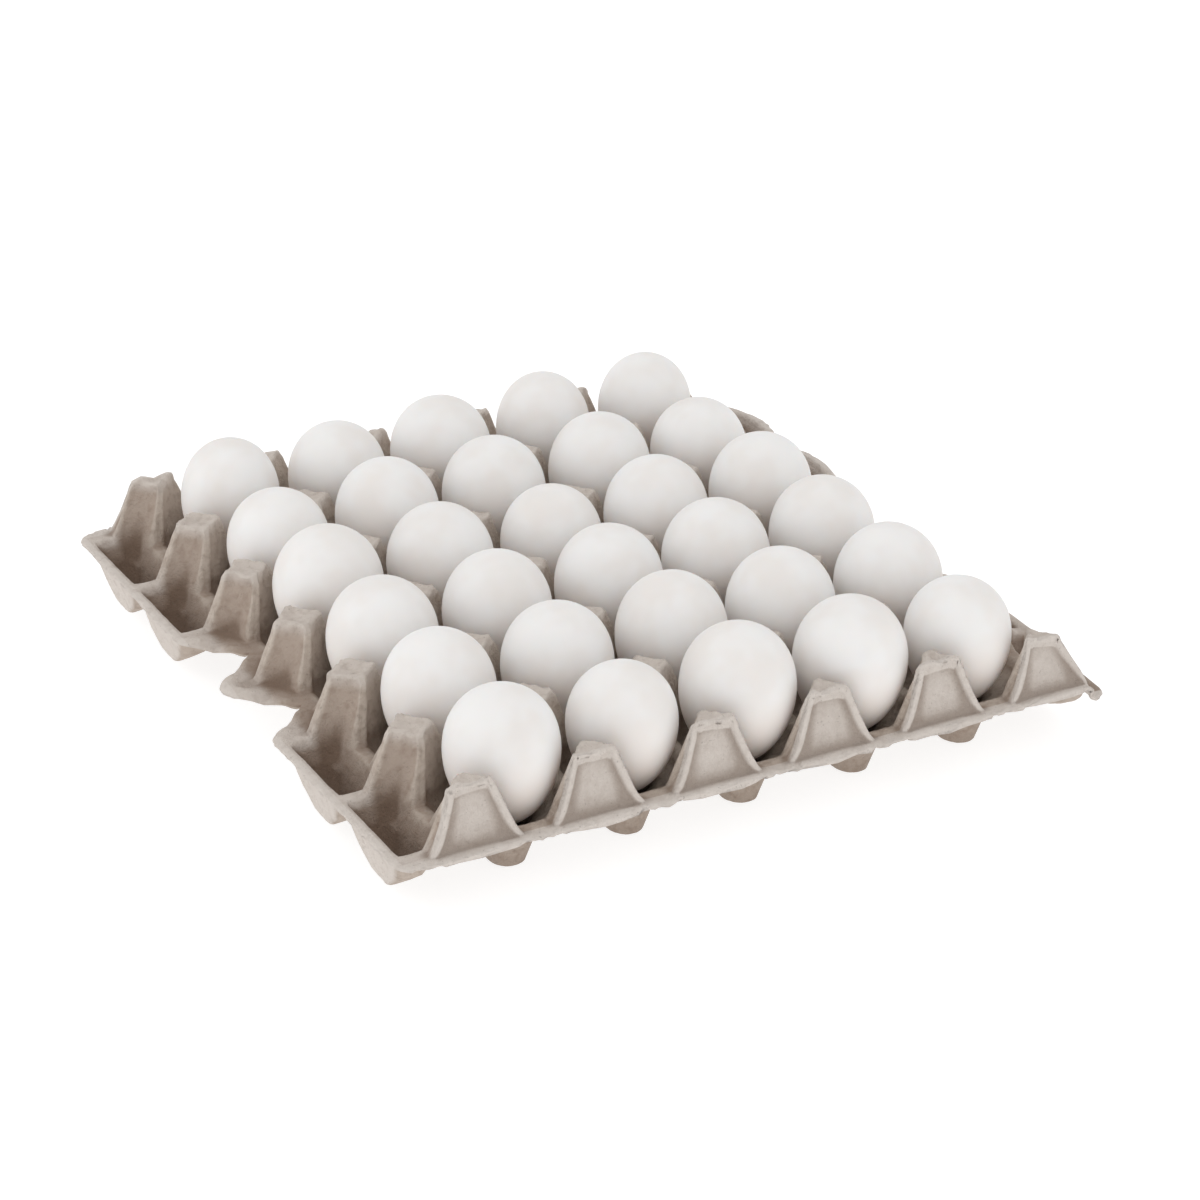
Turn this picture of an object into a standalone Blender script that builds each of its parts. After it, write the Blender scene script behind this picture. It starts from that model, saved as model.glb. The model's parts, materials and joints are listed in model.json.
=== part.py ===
"""A moulded pulp tray of thirty cells, five across and six deep, with a white egg in each.

Metres, +Z up. X runs along the front edge and Y towards the back. The tray stands on its
feet at Z = 0, and the middle of the tray is at X = Y = 0.
"""

import math
import random

import bmesh
import bpy
from mathutils import Matrix, Vector

# The grid of cells
PITCH = 0.0475
COLUMNS = 5
ROWS = 6
HALF = PITCH / 2

# The tray's wall and its levels above the ground
WALL = 0.0020
POST_TOP = 0.0475
RIM = 0.0245
WELL_BEND = 0.0120

# A post is a pyramid with four faces turned to the cells and a flat square top turned 45 degrees
TIP_REACH = 0.0090
RIDGE_REACH = 0.0190
RIDGE_SLOPE = (POST_TOP - RIM) / (RIDGE_REACH - TIP_REACH)

# The low crest between two posts, and the steep wall from it down into the cell
CREST_HALF = 0.0025
CREST_WALL_SLOPE = 1.88

# The cell's shoulder, the ring that the egg stands on, and the hollow foot below it
SHOULDER = 0.0198
RING_RADIUS = 0.0106
FOOT_RADIUS = 0.0066

# The closed outer faces of the half posts along the front and back edges
FACE_FOOT = 3.10 * PITCH
FRAME_WIDTH = 0.0026
PANEL_DEPTH = 0.0010
PANEL_FOOT = RIM + 0.0010

# The outline of the rim, measured from the middle of the tray
FRONT_EDGE = 3.14 * PITCH
WELL_WALL_TOP = 3.06 * PITCH
WELL_WALL_FOOT = 2.965 * PITCH
SIDE_EDGE = 3.125 * PITCH
BULGE_EDGE = 3.14 * PITCH
NOTCH_EDGE = 2.79 * PITCH
NOTCH_STEPS = 8
CORNER_RADIUS = 0.0065
CORNER_STEPS = 4
LIP_REACH = 0.0015
LIP_DROP = 0.0015

# The first and the last post, counted from the front, of the stretch of a side that has
# finger notches and no wells
NOTCH_POSTS = (2, 4)

# The eggs
EGG_LENGTH = 0.0525
EGG_WIDTH = 0.0418
EGG_BLUNTNESS = 0.0026
EGG_TOP = 0.0668
EGG_SIDES = 10
EGG_RINGS = 5
EGG_GAP = 0.0003
# Each grade's share of that length and width: small, medium, large, and tall but narrow
GRADES = {"s": (0.96, 0.965), "m": (1, 1), "l": (1.02, 1.015), "t": (1.025, 0.945)}
# One letter for each egg: a word for each row from the front, its letters left to right
EGG_GRADES = ("mslls", "mmlmm", "mmmlm", "lmsmm", "smmms", "tsmtt")
LENGTH_SPREAD = 0.006
WIDTH_SPREAD = 0.005
LARGEST_LEAN = math.radians(3.5)

OCTAGON = math.tan(math.radians(22.5))


def column_x(i):
    """X of the middle of a cell, or of a post for i - 0.5."""
    return (i - (COLUMNS - 1) / 2) * PITCH


def row_y(j):
    """Y of the middle of a cell, or of a post for j - 0.5."""
    return (j - (ROWS - 1) / 2) * PITCH


def egg_height_at(radius, length, width):
    """How far above its lower end an egg is this wide."""
    a = length / 2
    b = width / 2
    w = EGG_BLUNTNESS
    p = w * radius**2
    x = (-p + math.sqrt(p**2 - b**2 * (radius**2 * (a**2 + w**2) - (a * b) ** 2))) / b**2
    return a - x


RING = EGG_TOP - EGG_LENGTH + egg_height_at(RING_RADIUS, EGG_LENGTH, EGG_WIDTH) - EGG_GAP


class Sheet:
    """The upper side of the tray, as flat faces that share their corners."""

    def __init__(self):
        self.mesh = bmesh.new()
        self.corners = {}

    def corner(self, point):
        key = tuple(round(value * 1e6) for value in point)
        if key not in self.corners:
            self.corners[key] = self.mesh.verts.new(point)
        return self.corners[key]

    def face(self, *points):
        """Adds one face, turned so that it looks up."""
        face = self.mesh.faces.new([self.corner(point) for point in points])
        face.normal_update()
        if face.normal.z < 0:
            face.normal_flip()


def crease(level):
    """Where a post's face meets a crest's wall at this level: the distances from the post's
    middle, along the crest and across it."""
    drop = RIM - level
    across = CREST_HALF + drop / CREST_WALL_SLOPE
    along = RIDGE_REACH + drop / RIDGE_SLOPE - across
    return along, across


def cell_corners(cx, cy, level):
    """The eight corners of a cell at this level, for each quarter the one by the crest that
    runs along Y and then the one by the crest that runs along X."""
    along, across = crease(level)
    quarters = {}
    for sx in (-1, 1):
        for sy in (-1, 1):
            by_y = (cx + sx * (HALF - across), cy + sy * (HALF - along), level)
            by_x = (cx + sx * (HALF - along), cy + sy * (HALF - across), level)
            quarters[sx, sy] = (by_y, by_x)
    return quarters


def octagon_corners(cx, cy, radius, level):
    quarters = {}
    for sx in (-1, 1):
        for sy in (-1, 1):
            by_y = (cx + sx * radius, cy + sy * radius * OCTAGON, level)
            by_x = (cx + sx * radius * OCTAGON, cy + sy * radius, level)
            quarters[sx, sy] = (by_y, by_x)
    return quarters


def band(sheet, upper, lower):
    """The eight faces between two levels of one cell."""
    for sx in (-1, 1):
        for sy in (-1, 1):
            sheet.face(*upper[sx, sy], *reversed(lower[sx, sy]))
        sheet.face(upper[sx, -1][0], upper[sx, 1][0], lower[sx, 1][0], lower[sx, -1][0])
        sheet.face(upper[-1, sx][1], upper[1, sx][1], lower[1, sx][1], lower[-1, sx][1])


def post_face(sheet, px, py, sx, sy, level=None):
    """One sloping face of a post, down to the rim, or into the cell down to a level."""
    along, across = RIDGE_REACH, 0
    points = [
        (px + sx * TIP_REACH, py, POST_TOP),
        (px, py + sy * TIP_REACH, POST_TOP),
        (px, py + sy * RIDGE_REACH, RIM),
    ]
    if level is not None:
        for z in (RIM, level):
            along, across = crease(z)
            points.append((px + sx * across, py + sy * along, z))
        for z in (level, RIM):
            along, across = crease(z)
            points.append((px + sx * along, py + sy * across, z))
    points.append((px + sx * RIDGE_REACH, py, RIM))
    sheet.face(*points)


def cell(sheet, cx, cy):
    """A cell: the crests' walls, the shoulder, the ring that holds the egg, and the foot."""
    rim = cell_corners(cx, cy, RIM)
    shoulder = cell_corners(cx, cy, SHOULDER)
    ring = octagon_corners(cx, cy, RING_RADIUS, RING)
    floor = octagon_corners(cx, cy, FOOT_RADIUS, WALL)
    for s in (-1, 1):
        sheet.face(rim[s, -1][0], rim[s, 1][0], shoulder[s, 1][0], shoulder[s, -1][0])
        sheet.face(rim[-1, s][1], rim[1, s][1], shoulder[1, s][1], shoulder[-1, s][1])
        for t in (-1, 1):
            post_face(sheet, cx + s * HALF, cy + t * HALF, -s, -t, SHOULDER)
    band(sheet, shoulder, ring)
    band(sheet, ring, floor)
    sheet.face(
        *floor[-1, -1], *reversed(floor[1, -1]), *floor[1, 1], *reversed(floor[-1, 1])
    )


def crest_along_x(sheet, cx, y, sides=(-1, 1)):
    """The flat top of the crest between two posts that stand side by side."""
    reach = HALF - RIDGE_REACH
    for s in sides:
        inner = HALF - RIDGE_REACH + CREST_HALF
        sheet.face(
            (cx - reach, y, RIM),
            (cx + reach, y, RIM),
            (cx + inner, y + s * CREST_HALF, RIM),
            (cx - inner, y + s * CREST_HALF, RIM),
        )


def crest_along_y(sheet, x, cy, sides=(-1, 1)):
    reach = HALF - RIDGE_REACH
    for s in sides:
        inner = HALF - RIDGE_REACH + CREST_HALF
        sheet.face(
            (x, cy - reach, RIM),
            (x, cy + reach, RIM),
            (x + s * CREST_HALF, cy + inner, RIM),
            (x + s * CREST_HALF, cy - inner, RIM),
        )


def post_top(sheet, px, py, sides=(-1, 1)):
    for s in sides:
        sheet.face(
            (px - TIP_REACH, py, POST_TOP),
            (px + TIP_REACH, py, POST_TOP),
            (px, py + s * TIP_REACH, POST_TOP),
        )


def side_well(sheet, side, cy):
    """The half cell outside a side column of posts, shut by a sloping outer wall."""
    x = side * COLUMNS * HALF
    cx = x + side * HALF
    rim = cell_corners(cx, cy, RIM)
    bend = cell_corners(cx, cy, WELL_BEND)
    slope = (WELL_WALL_TOP - WELL_WALL_FOOT) / (RIM - WALL)
    wall_x = {z: side * (WELL_WALL_FOOT + slope * (z - WALL)) for z in (RIM, WELL_BEND, WALL)}
    outer = {}
    floor = {}
    for t in (-1, 1):
        outer[t] = [
            (wall_x[RIM], rim[side, t][1][1], RIM),
            (wall_x[WELL_BEND], bend[side, t][1][1], WELL_BEND),
            (wall_x[WALL], cy + t * FOOT_RADIUS, WALL),
        ]
        floor[t] = (cx - side * FOOT_RADIUS, cy + t * FOOT_RADIUS * OCTAGON, WALL)
        near_y, near_x = rim[-side, t]
        low_y, low_x = bend[-side, t]
        post_face(sheet, x, cy + t * HALF, side, -t, WELL_BEND)
        sheet.face(near_x, outer[t][0], outer[t][1], low_x)
        sheet.face(low_y, low_x, outer[t][2], floor[t])
        sheet.face(low_x, outer[t][1], outer[t][2])
    upper, lower = rim[-side, -1][0], bend[-side, -1][0]
    sheet.face(upper, rim[-side, 1][0], bend[-side, 1][0], lower)
    sheet.face(lower, bend[-side, 1][0], floor[1], floor[-1])
    sheet.face(outer[-1][0], outer[1][0], outer[1][1], outer[-1][1])
    sheet.face(outer[-1][1], outer[1][1], outer[1][2], outer[-1][2])
    sheet.face(floor[-1], floor[1], outer[1][2], outer[-1][2])
    for t in (-1, 1):
        crest_outer = (side * SIDE_EDGE, outer[t][0][1], RIM)
        if t > 0:
            sheet.face(outer[-1][0], outer[1][0], crest_outer, (crest_outer[0], outer[-1][0][1], RIM))


def half_post(sheet, px, side):
    """The closed outer face of a half post on the front or back edge, and the narrow side
    faces between it and the post's ridges."""
    y_top = side * ROWS * HALF
    top = [(px + s * TIP_REACH, y_top, POST_TOP) for s in (-1, 1)]
    foot = [(px + s * RIDGE_REACH, side * FACE_FOOT, RIM) for s in (-1, 1)]
    sheet.face(top[0], top[1], foot[1], foot[0])
    for s in (0, 1):
        ridge_foot = (px + (-1, 1)[s] * RIDGE_REACH, y_top, RIM)
        sheet.face(top[s], foot[s], ridge_foot)


def panel_cutter(mesh, px, side):
    """A slab that sinks the panel into a half post's outer face, inside a raised frame."""
    lean = (FACE_FOOT - ROWS * HALF) / (POST_TOP - RIM)
    spread = (RIDGE_REACH - TIP_REACH) / (POST_TOP - RIM)
    layers = []
    for depth in (PANEL_DEPTH, -0.002):
        layer = []
        for z in (PANEL_FOOT, POST_TOP - FRAME_WIDTH):
            y = side * (ROWS * HALF + lean * (POST_TOP - z) - depth)
            reach = TIP_REACH + spread * (POST_TOP - z) - FRAME_WIDTH
            layer += [mesh.verts.new((px - reach, y, z)), mesh.verts.new((px + reach, y, z))]
        layer[2], layer[3] = layer[3], layer[2]
        layers.append(layer)
    inner, outer = layers
    mesh.faces.new(inner)
    mesh.faces.new(reversed(outer))
    for n in range(4):
        m = (n + 1) % 4
        mesh.faces.new((inner[m], inner[n], outer[n], outer[m]))


def notch_outline(side, post):
    """The scalloped edge from one side post to the next: a bulge round each post, and a
    rounded notch for a finger half way."""
    points = []
    for n in range(NOTCH_STEPS + 1):
        s = n / NOTCH_STEPS
        wave = (0.5 + 0.5 * math.cos(math.tau * s)) ** 0.6
        x = NOTCH_EDGE + (BULGE_EDGE - NOTCH_EDGE) * wave
        points.append((side * x, row_y(post - 0.5 + s), RIM))
    return points


def side_edge(sheet, side):
    """The flat rim along one side: the crests' ends, the notched flange and the outline.
    Gives the outline from front to back."""
    x = side * COLUMNS * HALF
    ridge_x = x + side * RIDGE_REACH
    inner_x = x + side * (RIDGE_REACH - CREST_HALF)
    outline = []

    def half_crest(post, s, edge_x):
        """The crest on one side of a post's outer ridge, out to the outline."""
        y = row_y(post - 0.5)
        y_side = y + s * CREST_HALF
        sheet.face(
            (ridge_x, y, RIM),
            (inner_x, y_side, RIM),
            (side * WELL_WALL_TOP, y_side, RIM),
            (side * SIDE_EDGE, y_side, RIM),
            (side * edge_x, y, RIM),
        )
        return (side * SIDE_EDGE, y_side, RIM)

    first, last = NOTCH_POSTS
    for post in range(1, ROWS):
        y = row_y(post - 0.5)
        edge_x = BULGE_EDGE if first <= post <= last else SIDE_EDGE
        if not first < post <= last:
            outline.append(half_crest(post, -1, edge_x))
        if first <= post < last:
            arch = notch_outline(side, post)
            near, far = y + RIDGE_REACH, y + PITCH - RIDGE_REACH
            sheet.face(
                (ridge_x, y, RIM), *arch, (ridge_x, y + PITCH, RIM), (x, far, RIM), (x, near, RIM)
            )
            outline += arch[:-1]
        else:
            outline.append((side * edge_x, y, RIM))
            outline.append(half_crest(post, 1, edge_x))
    return outline


def front_edge(sheet, side):
    """The flat rim along the front or back edge, and its outline from left to right."""
    y = side * ROWS * HALF
    foot = side * FACE_FOOT
    edge = side * FRONT_EDGE
    outline = []
    for i in range(COLUMNS + 1):
        px = column_x(i - 0.5)
        left, right = px - RIDGE_REACH, px + RIDGE_REACH
        half_post(sheet, px, side)
        sheet.face((left, foot, RIM), (right, foot, RIM), (right, edge, RIM), (left, edge, RIM))
        outline += [(left, edge, RIM), (right, edge, RIM)]
        if i < COLUMNS:
            far = px + PITCH - RIDGE_REACH
            sheet.face((right, y, RIM), (far, y, RIM), (far, foot, RIM), (right, foot, RIM))
            sheet.face((right, foot, RIM), (far, foot, RIM), (far, edge, RIM), (right, edge, RIM))
    return outline


def corner(sheet, sx, sy):
    """The rounded corner of the rim, from the side edge round to the front or back edge."""
    px, py = sx * COLUMNS * HALF, sy * ROWS * HALF
    cx, cy = sx * (SIDE_EDGE + 0.002), sy * (FRONT_EDGE + 0.001)
    arc = []
    for n in range(CORNER_STEPS + 1):
        turn = math.pi / 2 * n / CORNER_STEPS
        x = cx - sx * CORNER_RADIUS * (1 - math.cos(turn))
        y = cy - sy * CORNER_RADIUS * (1 - math.sin(turn))
        arc.append((x, y, RIM))
    y_side = py - sy * CREST_HALF
    side_point = (sx * SIDE_EDGE, y_side, RIM)
    sheet.face(
        (px + sx * RIDGE_REACH, py, RIM),
        (px + sx * (RIDGE_REACH - CREST_HALF), y_side, RIM),
        (sx * WELL_WALL_TOP, y_side, RIM),
        side_point,
        *arc,
        (px + sx * RIDGE_REACH, sy * FRONT_EDGE, RIM),
        (px + sx * RIDGE_REACH, sy * FACE_FOOT, RIM),
    )
    return [side_point, *arc]


def lip(sheet, outline):
    """The rim's edge, turned down all round the outline."""
    count = len(outline)
    lowered = []
    for n, point in enumerate(outline):
        before = Vector(outline[n - 1])
        after = Vector(outline[(n + 1) % count])
        along = (after - before).normalized()
        outward = Vector((along.y, -along.x, 0))
        lowered.append(Vector(point) + outward * LIP_REACH - Vector((0, 0, LIP_DROP)))
    for n in range(count):
        m = (n + 1) % count
        sheet.face(outline[n], outline[m], lowered[m], lowered[n])


def tray_sheet():
    sheet = Sheet()
    for i in range(COLUMNS):
        for j in range(ROWS):
            cell(sheet, column_x(i), row_y(j))
        for j in range(1, ROWS):
            crest_along_x(sheet, column_x(i), row_y(j - 0.5))
        crest_along_x(sheet, column_x(i), row_y(-0.5), (1,))
        crest_along_x(sheet, column_x(i), row_y(ROWS - 0.5), (-1,))
    for i in range(COLUMNS + 1):
        for j in range(1, ROWS):
            post_top(sheet, column_x(i - 0.5), row_y(j - 0.5))
        post_top(sheet, column_x(i - 0.5), row_y(-0.5), (1,))
        post_top(sheet, column_x(i - 0.5), row_y(ROWS - 0.5), (-1,))
    notch_rows = range(*NOTCH_POSTS)
    for j in range(ROWS):
        for i in range(1, COLUMNS):
            crest_along_y(sheet, column_x(i - 0.5), row_y(j))
        for side in (-1, 1):
            x = side * COLUMNS * HALF
            if j in notch_rows:
                crest_along_y(sheet, x, row_y(j), (-side,))
                for t in (-1, 1):
                    post_face(sheet, x, row_y(j + t / 2), side, -t)
            else:
                crest_along_y(sheet, x, row_y(j))
                side_well(sheet, side, row_y(j))
    front = front_edge(sheet, -1)
    back = front_edge(sheet, 1)
    right = side_edge(sheet, 1)
    left = side_edge(sheet, -1)
    outline = front
    outline += list(reversed(corner(sheet, 1, -1))) + right + corner(sheet, 1, 1)
    outline += list(reversed(back))
    outline += list(reversed(corner(sheet, -1, 1))) + list(reversed(left)) + corner(sheet, -1, -1)
    lip(sheet, outline)
    return sheet.mesh


def paint(name, colour, roughness):
    material = bpy.data.materials.new(name)
    material.use_nodes = True
    shader = material.node_tree.nodes["Principled BSDF"]
    shader.inputs["Base Color"].default_value = (*colour, 1)
    shader.inputs["Roughness"].default_value = roughness
    shader.inputs["Metallic"].default_value = 0
    return material


def make_panel_cutters(collection):
    slabs = bmesh.new()
    for i in range(COLUMNS + 1):
        for side in (-1, 1):
            panel_cutter(slabs, column_x(i - 0.5), side)
    bmesh.ops.recalc_face_normals(slabs, faces=slabs.faces)
    mesh = bpy.data.meshes.new("panel cutters")
    slabs.to_mesh(mesh)
    slabs.free()
    cutters = bpy.data.objects.new("panel_cutters", mesh)
    cutters.hide_render = True
    cutters.display_type = "WIRE"
    collection.objects.link(cutters)
    return cutters


def make_tray(collection, cutters):
    mesh = bpy.data.meshes.new("tray")
    built = tray_sheet()
    built.to_mesh(mesh)
    built.free()
    mesh.materials.append(paint("grey pulp", (0.42, 0.36, 0.31), 0.95))
    tray = bpy.data.objects.new("tray", mesh)
    collection.objects.link(tray)
    shell = tray.modifiers.new("pulp wall", "SOLIDIFY")
    shell.thickness = WALL
    shell.offset = -1
    shell.use_even_offset = True
    shell.use_quality_normals = True
    panels = tray.modifiers.new("sunk panels", "BOOLEAN")
    panels.operation = "DIFFERENCE"
    panels.solver = "EXACT"
    panels.object = make_panel_cutters(cutters)


def egg_mesh(length, width, name):
    """An egg on its pointed end. Its origin is the middle of that end's curve, about which
    it can lean without leaving its seat."""
    a, b, w = length / 2, width / 2, EGG_BLUNTNESS
    end_radius = b**2 * a / (a + w) ** 2
    mesh = bpy.data.meshes.new(name)
    profile = bmesh.new()
    verts = []
    for n in range(EGG_RINGS + 2):
        x = -a * math.cos(math.pi * n / (EGG_RINGS + 1))
        radius = b * math.sqrt(max(0, (a**2 - x**2) / (a**2 + 2 * w * x + w**2)))
        verts.append(profile.verts.new((radius, 0, a - x - end_radius)))
    for upper, lower in zip(verts, verts[1:]):
        profile.edges.new((upper, lower))
    profile.to_mesh(mesh)
    profile.free()
    return mesh, end_radius


def make_eggs(collection):
    shell = paint("white eggshell", (0.86, 0.85, 0.83), 0.5)
    draw = random.Random(30)
    for j, grades in enumerate(EGG_GRADES):
        for i, grade in enumerate(grades):
            long, wide = GRADES[grade]
            length = EGG_LENGTH * long * (1 + draw.uniform(-LENGTH_SPREAD, LENGTH_SPREAD))
            width = EGG_WIDTH * wide * (1 + draw.uniform(-WIDTH_SPREAD, WIDTH_SPREAD))
            name = f"egg_row{j + 1}_place{i + 1}"
            mesh, end_radius = egg_mesh(length, width, name)
            egg = bpy.data.objects.new(name, mesh)
            collection.objects.link(egg)
            mesh.materials.append(shell)
            turn = egg.modifiers.new("turned", "SCREW")
            turn.steps = EGG_SIDES
            turn.render_steps = EGG_SIDES
            turn.use_merge_vertices = True
            turn.merge_threshold = 0.00001
            turn.use_normal_calculate = True
            end = RING + EGG_GAP - egg_height_at(RING_RADIUS, length, width)
            lean = draw.uniform(0, LARGEST_LEAN)
            heading = draw.uniform(0, math.tau)
            spin = draw.uniform(0, math.tau)
            egg.matrix_world = (
                Matrix.Translation((column_x(i), row_y(j), end + end_radius))
                @ Matrix.Rotation(lean, 4, Vector((math.cos(heading), math.sin(heading), 0)))
                @ Matrix.Rotation(spin, 4, "Z")
            )


def main():
    for thing in list(bpy.data.objects):
        bpy.data.objects.remove(thing)
    collection = bpy.data.collections.new("egg tray")
    cutters = bpy.data.collections.new("cutters")
    for group in (collection, cutters):
        bpy.context.scene.collection.children.link(group)
    make_tray(collection, cutters)
    make_eggs(collection)


main()
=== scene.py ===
# %% [markdown]
# # A pulp tray of eggs
#
# Thirty white eggs stand in a tray of moulded pulp, five cells across and six deep.
# The tray was drawn first as plain solids, and this lesson gives them their surfaces.
# The solids come in as a fixed frame, and each new piece replaces the solid that it stands
# for. An egg's place and size are measured from its solid. The tray is drawn again, finer,
# from nearly the same sizes as its solid.

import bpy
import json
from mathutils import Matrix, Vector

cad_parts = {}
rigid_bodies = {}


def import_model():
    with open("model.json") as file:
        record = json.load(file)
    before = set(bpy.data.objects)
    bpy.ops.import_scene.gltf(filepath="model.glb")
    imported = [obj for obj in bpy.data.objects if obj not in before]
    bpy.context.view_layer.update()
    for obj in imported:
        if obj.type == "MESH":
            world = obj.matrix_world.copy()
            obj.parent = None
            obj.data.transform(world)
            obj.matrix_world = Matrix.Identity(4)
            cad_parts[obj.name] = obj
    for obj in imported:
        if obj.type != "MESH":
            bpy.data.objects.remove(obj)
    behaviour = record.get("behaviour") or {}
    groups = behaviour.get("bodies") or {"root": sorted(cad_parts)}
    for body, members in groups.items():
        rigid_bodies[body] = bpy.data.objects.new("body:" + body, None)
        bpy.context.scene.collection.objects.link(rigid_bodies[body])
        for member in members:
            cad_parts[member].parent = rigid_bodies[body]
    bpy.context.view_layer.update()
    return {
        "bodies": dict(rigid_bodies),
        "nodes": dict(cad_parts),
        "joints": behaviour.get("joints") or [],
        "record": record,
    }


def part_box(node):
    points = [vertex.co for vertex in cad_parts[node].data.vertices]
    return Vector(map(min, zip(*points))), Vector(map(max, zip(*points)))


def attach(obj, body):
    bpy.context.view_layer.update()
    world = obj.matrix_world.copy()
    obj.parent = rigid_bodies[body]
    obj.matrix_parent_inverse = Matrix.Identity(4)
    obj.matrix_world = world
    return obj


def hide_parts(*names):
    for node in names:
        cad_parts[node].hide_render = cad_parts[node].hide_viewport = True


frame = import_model()

# %% [markdown]
# ## The solid tray as a guide
#
# Blender measures in metres and a tray is drawn in millimetres, so one name stands for a
# millimetre. Its solid gives two levels: what it stands on, and the tops of its posts.

# %% The modules, and the tray's solid
import json
import math

import bpy
from mathutils import Matrix, Vector

MM = 0.001
TRAY_LOW, TRAY_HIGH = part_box("tray")
print("the tray's box:", [round(v, 4) for v in TRAY_LOW], [round(v, 4) for v in TRAY_HIGH])

# %% [markdown]
# ## Node trees written as sums
#
# Both the tray's shape and every finish are node trees. Adding and linking each node by hand
# hides what a tree works out, so one small class wraps a socket: adding or multiplying two of
# them adds the Math node and the links. Any other node comes from one method that takes its
# type, its settings and the values or links of its inputs.


# %% A socket that can be added and multiplied
class Socket:
    def __init__(self, graph, out):
        self.graph = graph
        self.out = out

    def math(self, operation, *others):
        inputs = dict(enumerate([self, *others]))
        return self.graph.add("ShaderNodeMath", {"operation": operation}, inputs)

    def __add__(self, other):
        return self.math("ADD", other)

    def __sub__(self, other):
        return self.math("SUBTRACT", other)

    def __mul__(self, other):
        return self.math("MULTIPLY", other)

    def __truediv__(self, other):
        return self.math("DIVIDE", other)

    def __lt__(self, other):
        return self.math("LESS_THAN", other)

    def __gt__(self, other):
        return self.math("GREATER_THAN", other)

    def __rsub__(self, other):
        return self.graph.add("ShaderNodeMath", {"operation": "SUBTRACT"}, {0: other, 1: self})

    __radd__ = __add__
    __rmul__ = __mul__

    def between(self, low, high):
        """0 below low, 1 above high, and a smooth step from one to the other. Where low is the
        larger number, the step goes down instead of up."""
        settings = {"interpolation_type": "SMOOTHSTEP"}
        inputs = {"Value": self, "From Min": low, "From Max": high, "To Min": 0, "To Max": 1}
        return self.graph.add("ShaderNodeMapRange", settings, inputs)


print("a socket can be summed, scaled, compared and stepped")

# %% A node tree that grows one node at a time
class Graph:
    def __init__(self, tree):
        self.tree = tree

    def add(self, kind, settings=None, inputs=None, output=0):
        """One node: its settings first, then the values or links of its sockets."""
        node = self.tree.nodes.new(kind)
        for name, value in (settings or {}).items():
            setattr(node, name, value)
        for key, value in (inputs or {}).items():
            socket = node.inputs[key]
            if isinstance(value, Socket):
                self.tree.links.new(value.out, socket)
            elif isinstance(value, list):
                for item in value:
                    self.tree.links.new(item.out, socket)
            else:
                socket.default_value = value
        return None if output is None else Socket(self, node.outputs[output])

    def also(self, socket, output):
        """Another output of the node that a socket comes from."""
        return Socket(self, socket.out.node.outputs[output])

    def vector(self, operation, *values, output=0, scale=None):
        inputs = dict(enumerate(values))
        if scale is not None:
            inputs["Scale"] = scale
        return self.add("ShaderNodeVectorMath", {"operation": operation}, inputs, output)

    def join_xyz(self, x, y, z):
        return self.add("ShaderNodeCombineXYZ", None, {0: x, 1: y, 2: z})


print("a graph adds any other node by its type")

# %% [markdown]
# ## The tray's sizes
#
# The tray is pressed wet between a mould and a screen, so it is one sheet of even wall that
# goes up over posts and down into cells. Every face of it slopes, or it would not leave the
# mould. A few sizes, nearly all of them the solid's own, fix its faces: the distance between
# cells, the level of the posts' tops and of the rim, and how far a post reaches at each.

# %% Sizes of the sheet
PITCH = 47.5 * MM
COLUMNS = 5
ROWS = 6
WALL = 2.0 * MM
POST_TOP = TRAY_HIGH.z
RIM = 24.5 * MM
TIP_REACH = 9.0 * MM
RIDGE_REACH = 19.0 * MM
RIDGE_SLOPE = (POST_TOP - RIM) / (RIDGE_REACH - TIP_REACH)
CREST_HALF = 2.5 * MM
CREST_WALL_SLOPE = 1.88
SHOULDER = 19.8 * MM
RING = 18.3 * MM
RING_RADIUS = 10.6 * MM
FOOT_RADIUS = 6.6 * MM
FOOT_LEVEL = 1.1 * MM
HALF = PITCH / 2
SIDE = COLUMNS * HALF
FRONT = ROWS * HALF
print(f"a post's faces stand at {math.degrees(math.atan(RIDGE_SLOPE * math.sqrt(2))):.0f} degrees")

# %% [markdown]
# ## A sheet that grows patch by patch
#
# A grid of even squares would waste its points on the flat parts and lose the sharp ones.
# So the sheet is cut where the real one has an edge. Each patch between those edges is a
# small grid of its own, with rows close together beside an edge and far apart in the middle,
# and two patches that meet use the same points along the edge that they share.


# %% Shares of the way, and a patch on the other side
SAME_PLACE = 0.001 * MM


def mix(a, b, t):
    """The place, or the number, a share t of the way from a to b."""
    if isinstance(a, tuple):
        return tuple(mix(p, q, t) for p, q in zip(a, b))
    return a + (b - a) * t


def even(count):
    return [n / count for n in range(count + 1)]


def swapped(place):
    """The same patch on the other side of a post's diagonal."""

    def other(s, t):
        u, v, z = place(s, t)
        return v, u, z

    return other


print("a third of the way from 3 to 6 is", mix(3, 6, 1 / 3))


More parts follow.
